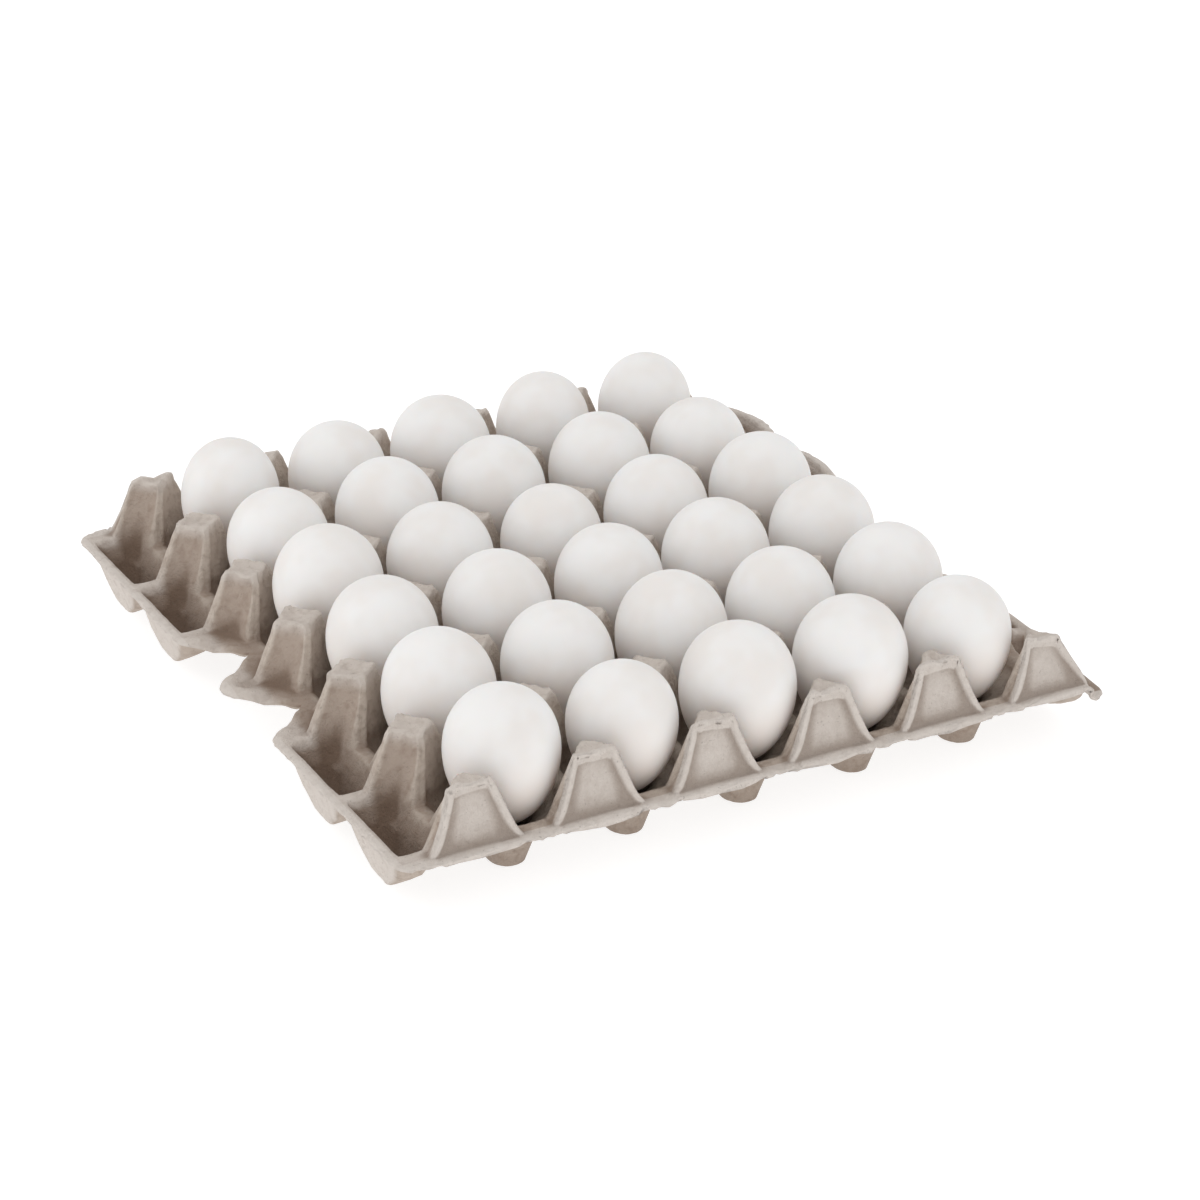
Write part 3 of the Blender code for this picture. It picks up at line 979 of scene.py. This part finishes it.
def feet_moved(graph, mesh, pitch, columns, rows, forward):
    """The front cells' feet reach further forward than their bowls."""
    x = graph.add("ShaderNodeSeparateXYZ", None, {0: graph.add("GeometryNodeInputPosition")})
    y, z = graph.also(x, 1), graph.also(x, 2)
    fore = (y + pitch * (rows * 0.5 - 0.5)).between(7 * MM, -7 * MM)
    inner = x.math("ABSOLUTE") < pitch * columns * 0.5
    move = fore * inner * z.between(17 * MM, 5 * MM) * forward
    offset = graph.join_xyz(0.0, move * -1, 0.0)
    return graph.add("GeometryNodeSetPosition", None, {"Geometry": mesh, "Offset": offset})


print(f"crests move {CREST_SHIFT / MM} mm out, feet {FOOT_FORWARD / MM} mm forward")

# %% Tear the lip and crumple the posts' tops
TORN = 2.2 * MM
TORN_SIZE = 2.8 * MM
CRUMPLED = 1.9 * MM
CRUMPLED_SIZE = 4.5 * MM
LIP_OUT = 0.9 * MM


def shaken(graph, mesh, size, depth, seed):
    """Moves points every way, by about this depth, in lumps of about this size."""
    inputs = {"W": seed, "Scale": 1 / size, "Detail": 2.0}
    noise = graph.add("ShaderNodeTexNoise", {"noise_dimensions": "4D"}, inputs, output=1)
    centred = graph.vector("SUBTRACT", noise, (0.5, 0.5, 0.5))
    offset = graph.vector("SCALE", centred, scale=depth * 2)
    return graph.add("GeometryNodeSetPosition", None, {"Geometry": mesh, "Offset": offset})


def torn(graph, mesh, depth, seed):
    """The lip's own unevenness: it is rougher than the rest, most of all along the front."""
    place = graph.add("GeometryNodeInputPosition")
    x = graph.add("ShaderNodeSeparateXYZ", None, {0: place})
    y = graph.also(x, 1)
    end = (y.math("ABSOLUTE") - FRONT).between(FRONT_EDGE - 1.2 * MM, FRONT_EDGE + LIP_OUT)
    side = (x.math("ABSOLUTE") - SIDE).between(SIDE_EDGE - 0.6 * MM, SIDE_EDGE + LIP_OUT)
    return shaken(graph, mesh, TORN_SIZE, (end + side * 0.5) * depth, seed)


def crumpled(graph, mesh, depth, seed):
    """The posts' tops are pressed out of shape, most of all along their edges."""
    z = graph.add("ShaderNodeSeparateXYZ", None, {0: graph.add("GeometryNodeInputPosition")}, 2)
    return shaken(graph, mesh, CRUMPLED_SIZE, z.between(POST_TOP - 7 * MM, POST_TOP) * depth, seed)


print(f"the lip is torn by {TORN / MM} mm and the tops are crumpled by {CRUMPLED / MM} mm")

# %% Warp the right side
LEAN_IN = 3.0 * MM
BOW_OUT = 5.5 * MM
DROOP = 2.4 * MM


def warped(graph, mesh, pitch, columns, rows, lean_in, bow_out, droop):
    """The right side as it has dried: its posts lean in a little, the rims of its two rear
    wells bow out, and the rest of its rim has drawn in and droops, most at the front corner."""
    place = graph.add("GeometryNodeInputPosition")
    x = graph.add("ShaderNodeSeparateXYZ", None, {0: place})
    y, z = graph.also(x, 1), graph.also(x, 2)
    outer = (x / pitch - columns * 0.5).between(-0.25, 0.05)
    above = z.between(RIM, POST_TOP)
    lean = outer * above * lean_in
    rim = (x / pitch - columns * 0.5).between(0.3, 0.56) * z.between(6 * MM, RIM)
    wave = (y / pitch).math("FRACT") * math.pi
    rear = (y / pitch > rows * 0.5 - 2) * (y / pitch < rows * 0.5)
    bow = wave.math("SINE") * rim * rear * bow_out
    fore = (y / pitch).between(rows * 0.5 - 1.9, rows * 0.5 - 2.4)
    corner = (y / pitch + rows * 0.5).between(1.2, -0.1)
    sunk = rim * droop * (fore + corner)
    offset = graph.join_xyz(bow - lean - sunk * 1.2, 0.0, bow * 0.15 - lean * 0.6 - sunk)
    return graph.add("GeometryNodeSetPosition", None, {"Geometry": mesh, "Offset": offset})


print(f"the right side leans {LEAN_IN / MM} mm in, bows {BOW_OUT / MM} mm out, droops {DROOP / MM} mm")

# %% [markdown]
# ## The tree for the whole tray
#
# The tree joins the inside to the border, merges their seams, and then runs every step above.
# Just before it roughens the surface, it stores how far each point stands out of the sheet
# round it, so that the material can paint light on edges and shade in hollows. The sizes that
# change the surface and its bends are named inputs of the tree.

# %% Store the relief for the material
RELIEF_ROUNDS = 14


def relief_stored(graph, mesh):
    """Keeps how far each point stands out of, or lies below, the sheet around it, in mm."""
    place = graph.add("GeometryNodeInputPosition")
    around = blurred_place(graph, RELIEF_ROUNDS, 1.0)
    normal = graph.add("GeometryNodeInputNormal")
    relief = graph.vector("DOT_PRODUCT", graph.vector("SUBTRACT", place, around), normal, output=1)
    inputs = {"Geometry": mesh, "Name": "relief", "Value": relief / MM}
    settings = {"data_type": "FLOAT", "domain": "POINT"}
    return graph.add("GeometryNodeStoreNamedAttribute", settings, inputs)


print(f"relief is measured against {RELIEF_ROUNDS} rounds of averaging")

# %% The tree's inputs
SEAM = 0.02 * MM
TRAY_INPUTS = {
    "Pitch": ("NodeSocketFloat", PITCH),
    "Columns": ("NodeSocketInt", COLUMNS),
    "Rows": ("NodeSocketInt", ROWS),
    "Softening": ("NodeSocketFloat", SOFTENING),
    "Waves": ("NodeSocketFloat", WAVES),
    "Felt": ("NodeSocketFloat", FELT),
    "Seed": ("NodeSocketFloat", 4.0),
    "Lean In": ("NodeSocketFloat", LEAN_IN),
    "Bow Out": ("NodeSocketFloat", BOW_OUT),
    "Droop": ("NodeSocketFloat", DROOP),
    "Crest Shift": ("NodeSocketFloat", CREST_SHIFT),
    "Foot Forward": ("NodeSocketFloat", FOOT_FORWARD),
    "Torn": ("NodeSocketFloat", TORN),
    "Crumpled": ("NodeSocketFloat", CRUMPLED),
}
print("the tray's inputs:", ", ".join(TRAY_INPUTS))


# %% Start and finish a tree
def geometry_tree(name, inputs):
    """An empty tree with a mesh coming in and going out, and named inputs."""
    tree = bpy.data.node_groups.new(name, "GeometryNodeTree")
    tree.interface.new_socket("Geometry", in_out="INPUT", socket_type="NodeSocketGeometry")
    tree.interface.new_socket("Geometry", in_out="OUTPUT", socket_type="NodeSocketGeometry")
    for label, (kind, value) in inputs.items():
        made = tree.interface.new_socket(label, in_out="INPUT", socket_type=kind)
        made.default_value = value
    graph = Graph(tree)
    mesh = graph.add("NodeGroupInput", output="Geometry")
    return graph, mesh, [graph.also(mesh, label) for label in inputs]


def finish_tree(graph, mesh, material):
    real = graph.add("GeometryNodeRealizeInstances", None, {"Geometry": mesh})
    done = graph.add("GeometryNodeSetMaterial", None, {"Geometry": real, "Material": material})
    graph.add("NodeGroupOutput", None, {0: done}, output=None)


print("a tree ends as real geometry with its material")


# %% The tray's tree
def tray_tree(material):
    graph, mesh, inputs = geometry_tree("pulp tray", TRAY_INPUTS)
    pitch, columns, rows, softening, waves, felt, seed, *shaping = inputs
    lean_in, bow_out, droop, shift, forward, tear, crumple = shaping
    inside = inside_of_tray(graph, pitch, columns, rows)
    inside = graph.add("GeometryNodeRealizeInstances", None, {"Geometry": inside})
    whole = graph.add("GeometryNodeJoinGeometry", None, {"Geometry": [inside, mesh]})
    merged = graph.add("GeometryNodeMergeByDistance", None, {"Geometry": whole, "Distance": SEAM})
    merged = softened(graph, merged, softening)
    merged = widened(graph, merged, pitch, columns, rows, shift)
    merged = warped(graph, merged, pitch, columns, rows, lean_in, bow_out, droop)
    merged = feet_moved(graph, merged, pitch, columns, rows, forward)
    merged = torn(graph, merged, tear, seed)
    merged = crumpled(graph, merged, crumple, seed)
    merged = relief_stored(graph, merged)
    merged = roughened(graph, merged, waves, felt, seed)
    finish_tree(graph, merged, material)
    return graph.tree


print(f"seams closer than {SEAM / MM:.2f} mm are merged")

# %% [markdown]
# ## Pulp
#
# Moulded paper pulp is a warm grey with no gloss. Seen close, it is felted: short fibres lie
# every way, with stains and dark specks among them. It is palest where it rubs, on the outer
# panels, the wells' outer walls, the flanges and the posts' tops. Shade and light are painted
# into it as well: painted shade, a deep brown, low in the cells and wells and in hollows, and
# painted light, a paler tone, along raised edges.
#
# All this could be painted on an image, but the tray would then have to be unwrapped. Instead
# each of those places is a mask, a number from 0 to 1 worked out from where a point lies, and
# the masks choose between a few colours. Only the upper side is stained and painted with shade.
# The underside keeps one even tone, apart from a painted shadow low on the cells' feet.

# %% The pulp's colours
PULP_PALE = (0.69, 0.63, 0.58, 1)
PULP_EDGE = (0.58, 0.50, 0.43, 1)
PULP_MID = (0.45, 0.365, 0.305, 1)
# The deep brown that painted shade is blended toward.
PULP_PAINTED_SHADE = (0.20, 0.135, 0.095, 1)
PULP_STAIN = (0.30, 0.22, 0.17, 1)
SPECK = (0.24, 0.20, 0.17, 1)
print("the palest pulp is", round(PULP_PALE[0] / PULP_PAINTED_SHADE[0], 1), "times as bright as the deepest")


# %% Helpers for materials
def new_material(name):
    material = bpy.data.materials.new(name)
    material.use_nodes = True
    material.node_tree.nodes.clear()
    return material, Graph(material.node_tree)


def object_place(graph):
    return graph.add("ShaderNodeTexCoord", output="Object")


def noise(graph, place, size, detail=2.0, stretch=(1, 1, 1)):
    turned = graph.add("ShaderNodeMapping", None, {"Vector": place, "Scale": stretch})
    inputs = {"Vector": turned, "Scale": 1 / size, "Detail": detail}
    return graph.add("ShaderNodeTexNoise", None, inputs)


def blend(graph, share, a, b):
    node = {"data_type": "RGBA"}
    return graph.add("ShaderNodeMix", node, {"Factor": share, 6: a, 7: b}, output=2)


def surface(graph, inputs):
    shader = graph.add("ShaderNodeBsdfPrincipled", None, inputs)
    graph.add("ShaderNodeOutputMaterial", None, {"Surface": shader}, output=None)


print("material helpers ready")

# %% Where the pulp is rubbed pale
PANEL_LEAN = FACE_FOOT / (POST_TOP - RIM)
WALL_LEAN = (WELL_WALL_TOP - WELL_WALL_FOOT) / (RIM - WALL)


def rubbed_places(out, y, level, bowed):
    """1 on the outer panels and walls, a little less on the flanges and the posts' tops."""
    lean = (POST_TOP - level) * PANEL_LEAN
    panels = (y.math("ABSOLUTE") - FRONT - lean).between(-2.4 * MM, -1.6 * MM)
    walls = (out - WELL_WALL_FOOT - bowed - level * WALL_LEAN).between(0.2 * MM, 1.2 * MM)
    flanges = out.between(14 * MM, 19 * MM) * level.between(20 * MM, 23 * MM)
    tops = level.between(POST_TOP - 6 * MM, POST_TOP - 1 * MM)
    return panels.math("MAXIMUM", walls).math("MAXIMUM", (flanges * 0.8).math("MAXIMUM", tops * 0.7))


print(f"a panel leans {PANEL_LEAN:.2f} mm for each mm of its height, an outer wall {WALL_LEAN:.2f}")

# %% The pulp's stains and felt
WELL_LOW = 4
CELL_HIGH = 24
WELL_HIGHER = 14
FOOT_HIGH = 16


def pulp_noises(graph, place):
    """Clouds of tone, the felt, its mottling, and fibres that lie two ways."""
    cloud = noise(graph, place, 14 * MM, 3.0)
    felt = noise(graph, place, 0.9 * MM, 4.0)
    mottle = noise(graph, place, 3.2 * MM, 4.0)
    one_way = noise(graph, place, 1.1 * MM, 1.0, (1, 6, 1))
    other_way = noise(graph, place, 1.1 * MM, 1.0, (6, 1, 1))
    return cloud, felt, mottle, one_way + other_way


def painted_pulp_shade(relief, level, uneven, inside_wells, upper, rubbed):
    """Painted shade, in deep brown: low in the cells and wells, in hollows, and on the cells' feet."""
    # Painted shade low in the cells. In the wells it is stronger and reaches higher.
    high = CELL_HIGH + inside_wells * WELL_HIGHER
    low = (1 - (level / MM + uneven * 3).between(WELL_LOW, high)) * (1 - rubbed)
    low *= (0.2 + inside_wells * 0.6) * upper
    # Painted shadow on the outside of the cells' feet, low down on the underside.
    painted_foot_shadow = (1 - (level / MM + uneven * 4).between(3, FOOT_HIGH)) * (1 - inside_wells)
    painted_foot_shadow *= (1 - upper) * 0.5
    # Painted shade in hollows, where the stored relief lies below the sheet around.
    sunk = (1 - (relief + uneven * 0.5).between(-1.5, -0.2)) * upper
    return (low + painted_foot_shadow + sunk * 0.6).math("MINIMUM", 0.95)


print(f"cells are brown up to {CELL_HIGH} mm, wells up to {CELL_HIGH + WELL_HIGHER} mm")


# %% The grey pulp
def make_pulp():
    material, graph = new_material("grey_pulp")
    place = object_place(graph)
    x = graph.add("ShaderNodeSeparateXYZ", None, {0: place})
    y, level = graph.also(x, 1), graph.also(x, 2)
    relief = graph.add("ShaderNodeAttribute", {"attribute_name": "relief"}, output="Fac")
    facing = graph.add("ShaderNodeTexCoord", output="Normal")
    upper = graph.add("ShaderNodeSeparateXYZ", None, {0: facing}, output=2).between(-0.1, 0.0)
    cloud, felt, mottle, fibres = pulp_noises(graph, place)
    uneven = cloud * 0.5 + felt * 0.5 - 0.5
    out = x.math("ABSOLUTE") - SIDE
    bowed = (x > 0.0) * (y > FRONT - 2 * PITCH) * (BOW_OUT * 0.8)
    inside_wells = out.between(-2 * MM, 3 * MM)
    rubbed = rubbed_places(out, y, level, bowed)
    # Beyond the side posts the upper side keeps the darker mid tone: partly the pulp's own browner tone,
    # partly painted shade in the wells.
    inner = blend(graph, (1 - inside_wells * upper) * 0.6, PULP_MID, PULP_EDGE)
    # Painted light: raised edges, where the relief is positive, are painted paler.
    tint = blend(graph, (relief + uneven * 0.5).between(0.0, 0.85), inner, PULP_EDGE)
    tint = blend(graph, rubbed * 0.9, tint, PULP_PALE)
    tint = blend(graph, mottle.between(0.42, 0.78) * (0.55 - rubbed * 0.38), tint, PULP_STAIN)
    # Painted shade: the tint goes toward deep brown low in the cells and wells, in hollows and on the
    # feet.
    painted_shade = painted_pulp_shade(relief, level, uneven, inside_wells, upper, rubbed)
    tint = blend(graph, painted_shade, tint, PULP_PAINTED_SHADE)
    specks = noise(graph, place, 1.3 * MM, 1.0).between(0.70, 0.76)
    tint = blend(graph, specks * 0.35, tint, SPECK)
    height = felt * 0.5 + fibres * 0.3 + mottle * 1.1
    bump = graph.add(
        "ShaderNodeBump", None, {"Height": height, "Strength": 0.9, "Distance": 1.0 * MM}
    )
    surface(graph, {"Base Color": tint, "Roughness": 0.95, "Normal": bump})
    return material


grey_pulp = make_pulp()
print(f"{grey_pulp.name}: {len(grey_pulp.node_tree.nodes)} nodes")

# %% [markdown]
# ## Make the tray
#
# The tree goes on the border as a modifier, and Solidify gives the sheet its wall. Both could
# stay live, but a piece that is handed on is a plain mesh: the evaluated object is copied
# into a new one, and the object with the modifiers is removed. The wall hangs below the
# sheet, so the levels above are those of the side that the eggs stand on. The feet would then
# reach a little below the ground, and are pressed flat on it instead.

# %% Run a tree, and keep its result
def run_tree(target, tree, values=None):
    """Puts the tree on the object as a modifier, with its inputs set by their identifiers."""
    modifier = target.modifiers.new(tree.name, "NODES")
    modifier.node_group = tree
    labels = {item.name: item for item in tree.interface.items_tree if item.in_out == "INPUT"}
    for label, item in labels.items():
        if label != "Geometry":
            modifier[item.identifier] = (values or {}).get(label, item.default_value)


def settled(target, name):
    """A plain mesh object of what the modifiers make, in place of the object they are on."""
    graph = bpy.context.evaluated_depsgraph_get()
    mesh = bpy.data.meshes.new_from_object(target.evaluated_get(graph))
    made = bpy.data.objects.new(name, mesh)
    bpy.context.scene.collection.objects.link(made)
    bpy.data.objects.remove(target)
    return made


# %% The tray
PULP_WALL = 1.7 * MM
run_tree(border_object, tray_tree(grey_pulp))
thickness = border_object.modifiers.new("wall", "SOLIDIFY")
thickness.thickness = PULP_WALL
thickness.offset = -1
tray = settled(border_object, "pulp_tray")
for helper in (cell_corner, post_top):
    bpy.data.objects.remove(helper)
for vertex in tray.data.vertices:
    vertex.co.z = max(vertex.co.z, 0)
tray.data.shade_smooth()
tray.data.calc_loop_triangles()
print(f"tray: {len(tray.data.vertices)} points, {len(tray.data.loop_triangles)} triangles")
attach(tray, "root")
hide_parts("tray")

# %% [markdown]
# ## The eggs
#
# An egg is a ball that is longer than wide and blunter at one end. A Geometry Nodes tree bends
# a unit ball into that form, from the egg's length, width and bluntness, and turns and places
# it. No two eggs are alike, so each one's sizes, lean and place are measured from its solid.
#
# A white shell isn't pure white. Its tone drifts a little, it has fine pores, and a little light
# passes into it. Low down it carries a painted reflection: the warm light the pulp throws back.

# %% White eggshell
SHELL_PALE = (0.84, 0.83, 0.82, 1)
SHELL_WARM = (0.80, 0.77, 0.745, 1)
SHELL_PAINTED_BOUNCE = (0.86, 0.79, 0.74, 1)
SHELL_DEPTH = 9 * MM


def make_shell():
    material, graph = new_material("white_eggshell")
    place = object_place(graph)
    cloud = noise(graph, place, 18 * MM, 2.0)
    pores = noise(graph, place, 0.55 * MM, 2.0)
    level = graph.add("ShaderNodeSeparateXYZ", None, {0: place}, output=2)
    tint = blend(graph, cloud.between(0.35, 0.7), SHELL_PALE, SHELL_WARM)
    # Painted reflection: low down the shell is tinted with the pulp's warm bounced light.
    tint = blend(graph, level.between(54 * MM, 30 * MM) * 0.8, tint, SHELL_PAINTED_BOUNCE)
    bump = graph.add(
        "ShaderNodeBump", None, {"Height": pores, "Strength": 0.12, "Distance": 0.1 * MM}
    )
    rough = 0.5 + pores * 0.15
    finish = {"Base Color": tint, "Roughness": rough, "Normal": bump}
    glow = {"Subsurface Weight": 0.35, "Subsurface Radius": (1.0, 0.8, 0.65)}
    surface(graph, {**finish, **glow, "Subsurface Scale": SHELL_DEPTH})
    return material


white_eggshell = make_shell()
print(f"{white_eggshell.name}: {len(white_eggshell.node_tree.nodes)} nodes")

# %% A ball bent into an egg
EGG_BLUNTNESS = 2.6 * MM
EGG_LUMPS = 22 * MM
EGG_INPUTS = {
    "Length": ("NodeSocketFloat", 52.5 * MM),
    "Width": ("NodeSocketFloat", 41.8 * MM),
    "Bluntness": ("NodeSocketFloat", EGG_BLUNTNESS),
    "Unevenness": ("NodeSocketFloat", 0.16 * MM),
    "Turn": ("NodeSocketVector", (0, 0, 0)),
    "Place": ("NodeSocketVector", (0, 0, 0)),
    "Seed": ("NodeSocketFloat", 1.0),
}


def egg_tree(material):
    """The blunt end points up: the ball's rings widen toward it and narrow below."""
    graph, _, inputs = geometry_tree("egg", EGG_INPUTS)
    length, width, bluntness, unevenness, turn, middle, seed = inputs
    ball = graph.add("GeometryNodeMeshUVSphere", None, {"Segments": 56, "Rings": 36, "Radius": 1.0})
    place = graph.add("GeometryNodeInputPosition")
    x = graph.add("ShaderNodeSeparateXYZ", None, {0: place})
    y, z = graph.also(x, 1), graph.also(x, 2)
    a = length * 0.5
    taper = a * a + bluntness * bluntness - 2 * bluntness * a * z
    k = a * width * 0.5 / taper.math("SQRT")
    bent = graph.join_xyz(x * k, y * k, z * a)
    egg = graph.add("GeometryNodeSetPosition", None, {"Geometry": ball, "Position": bent})
    normal = graph.add("GeometryNodeInputNormal")
    lumps = noise_height(graph, EGG_LUMPS, seed) * unevenness
    offset = graph.vector("SCALE", normal, scale=lumps)
    egg = graph.add("GeometryNodeSetPosition", None, {"Geometry": egg, "Offset": offset})
    egg = graph.add("GeometryNodeSetShadeSmooth", None, {"Geometry": egg})
    inputs = {"Geometry": egg, "Translation": middle, "Rotation": turn}
    egg = graph.add("GeometryNodeTransform", None, inputs)
    finish_tree(graph, egg, material)
    return graph.tree


shape_of_egg = egg_tree(white_eggshell)
print("an egg's inputs:", ", ".join(EGG_INPUTS))

# %% Measure an egg's solid
NEAR_MIDDLE = 0.8


def measured(node):
    """Length, width, turn and middle of an egg's solid. Its two ends are its farthest points."""
    solid = frame["nodes"][node]
    points = [solid.matrix_world @ vertex.co for vertex in solid.data.vertices]
    top = max(points, key=lambda p: p.z)
    low = max(points, key=lambda p: (p - top).length)
    axis = top - low
    a = axis.length / 2
    axis.normalize()
    middle = (top + low) / 2
    b = 0
    for point in points:
        x = -(point - middle).dot(axis)
        far = (point - middle + axis * x).length
        if abs(x) < NEAR_MIDDLE * a:
            w = EGG_BLUNTNESS
            b = max(b, far * math.sqrt((a * a + 2 * w * x + w * w) / (a * a - x * x)))
    turn = Vector((0, 0, 1)).rotation_difference(axis).to_euler()
    return {"Length": 2 * a, "Width": 2 * b, "Turn": tuple(turn), "Place": tuple(middle)}


egg_nodes = sorted(set(frame["nodes"]) - {"tray"})
lengths = [measured(node)["Length"] / MM for node in egg_nodes]
print(f"{len(lengths)} eggs, {min(lengths):.1f} to {max(lengths):.1f} mm long")

# %% Make the eggs
eggs = []
for number, node in enumerate(egg_nodes):
    seedling = bpy.data.objects.new(node, bpy.data.meshes.new(node))
    bpy.context.scene.collection.objects.link(seedling)
    run_tree(seedling, shape_of_egg, {**measured(node), "Seed": float(number)})
    egg = settled(seedling, f"white_{node}")
    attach(egg, "root")
    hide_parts(node)
    eggs.append(egg)
print(f"{len(eggs)} eggs, {len(eggs[0].data.polygons)} faces each")

# %% [markdown]
# ## The set
#
# The set is a white studio: a plain pale floor that gives back light from below, a white sky,
# and four wide soft lights, the strongest at the left. The wider a light, the softer its
# shadows, and white eggs need soft ones to look round. The floor glows faintly, so that it
# stays white under the tray's shadow.

# %% The floor
FLOOR_REACH = 4.0
FLOOR_GREY = (0.35, 0.35, 0.35, 1)
WHITE = (1, 1, 1, 1)


def add_floor():
    mesh = bpy.data.meshes.new("floor")
    squares = ((-1, -1), (1, -1), (1, 1), (-1, 1))
    corners = [(x * FLOOR_REACH, y * FLOOR_REACH, TRAY_LOW.z) for x, y in squares]
    mesh.from_pydata(corners, [], [(0, 1, 2, 3)])
    floor = bpy.data.objects.new("floor", mesh)
    bpy.context.scene.collection.objects.link(floor)
    material, graph = new_material("white floor")
    glow = {"Emission Color": WHITE, "Emission Strength": 0.8}
    surface(graph, {"Base Color": FLOOR_GREY, "Roughness": 0.9, **glow})
    mesh.materials.append(material)


add_floor()
print(f"the floor lies at {TRAY_LOW.z / MM:.1f} mm")

# %% The lights: where each is, how wide, and how strong
LIGHTS = {
    "front": ((-0.3, -1.25, 0.85), 1.0, 2),
    "right": ((1.0, -0.7, 1.2), 1.0, 1.5),
    "left": ((-1.2, 0.7, 0.9), 0.9, 4),
    "above": ((0.0, 0.1, 1.6), 1.2, 1.5),
}
LIT = Vector((0, 0, 0.03))
SKY = 0.78


def add_light(name, place, size, watts):
    data = bpy.data.lights.new(name, "AREA")
    data.shape = "SQUARE"
    data.size = size
    data.energy = watts
    light = bpy.data.objects.new(name, data)
    light.location = place
    light.rotation_euler = (LIT - Vector(place)).to_track_quat("-Z", "Y").to_euler()
    bpy.context.scene.collection.objects.link(light)


for name, (place, size, watts) in LIGHTS.items():
    add_light(name, place, size, watts)
world = bpy.data.worlds.new("white studio")
world.use_nodes = True
world.node_tree.nodes["Background"].inputs["Color"].default_value = WHITE
world.node_tree.nodes["Background"].inputs["Strength"].default_value = SKY
bpy.context.scene.world = world
bpy.context.scene.view_settings.view_transform = "Standard"
print(f"{len(LIGHTS)} lights, {sum(watts for *_, watts in LIGHTS.values())} W in all")

# %% [markdown]
# ## The camera
#
# The camera looks down on the tray from its front left corner, through a long lens from more
# than a metre away, so that the far eggs stay nearly as large as the near ones. It is placed
# by a yaw, a rise and a distance from the spot it aims at, which is easier to adjust than
# three angles and a place: its three axes are worked out from those and make its matrix.

# %% The camera
YAW, RISE, ROLL = (math.radians(angle) for angle in (-28.91, 26.4, 0.37))
DISTANCE = 1307.8 * MM
AIM = Vector((-13.55, -41.2, 47.5)) * MM
LENS = 104.9
SENSOR = 36


def add_camera():
    level = math.cos(RISE)
    back = Vector((math.sin(YAW) * level, -math.cos(YAW) * level, math.sin(RISE)))
    across = Vector((math.cos(YAW), math.sin(YAW), 0))
    up = back.cross(across)
    right = across * math.cos(ROLL) + up * math.sin(ROLL)
    data = bpy.data.cameras.new("camera")
    data.lens = LENS
    data.sensor_width = SENSOR
    camera = bpy.data.objects.new("camera", data)
    axes = Matrix((right, back.cross(right), back)).transposed().to_4x4()
    camera.matrix_world = Matrix.Translation(AIM + back * DISTANCE) @ axes
    bpy.context.scene.collection.objects.link(camera)
    bpy.context.scene.camera = camera


add_camera()
print("the camera is", round(DISTANCE, 2), "m from the spot it aims at")
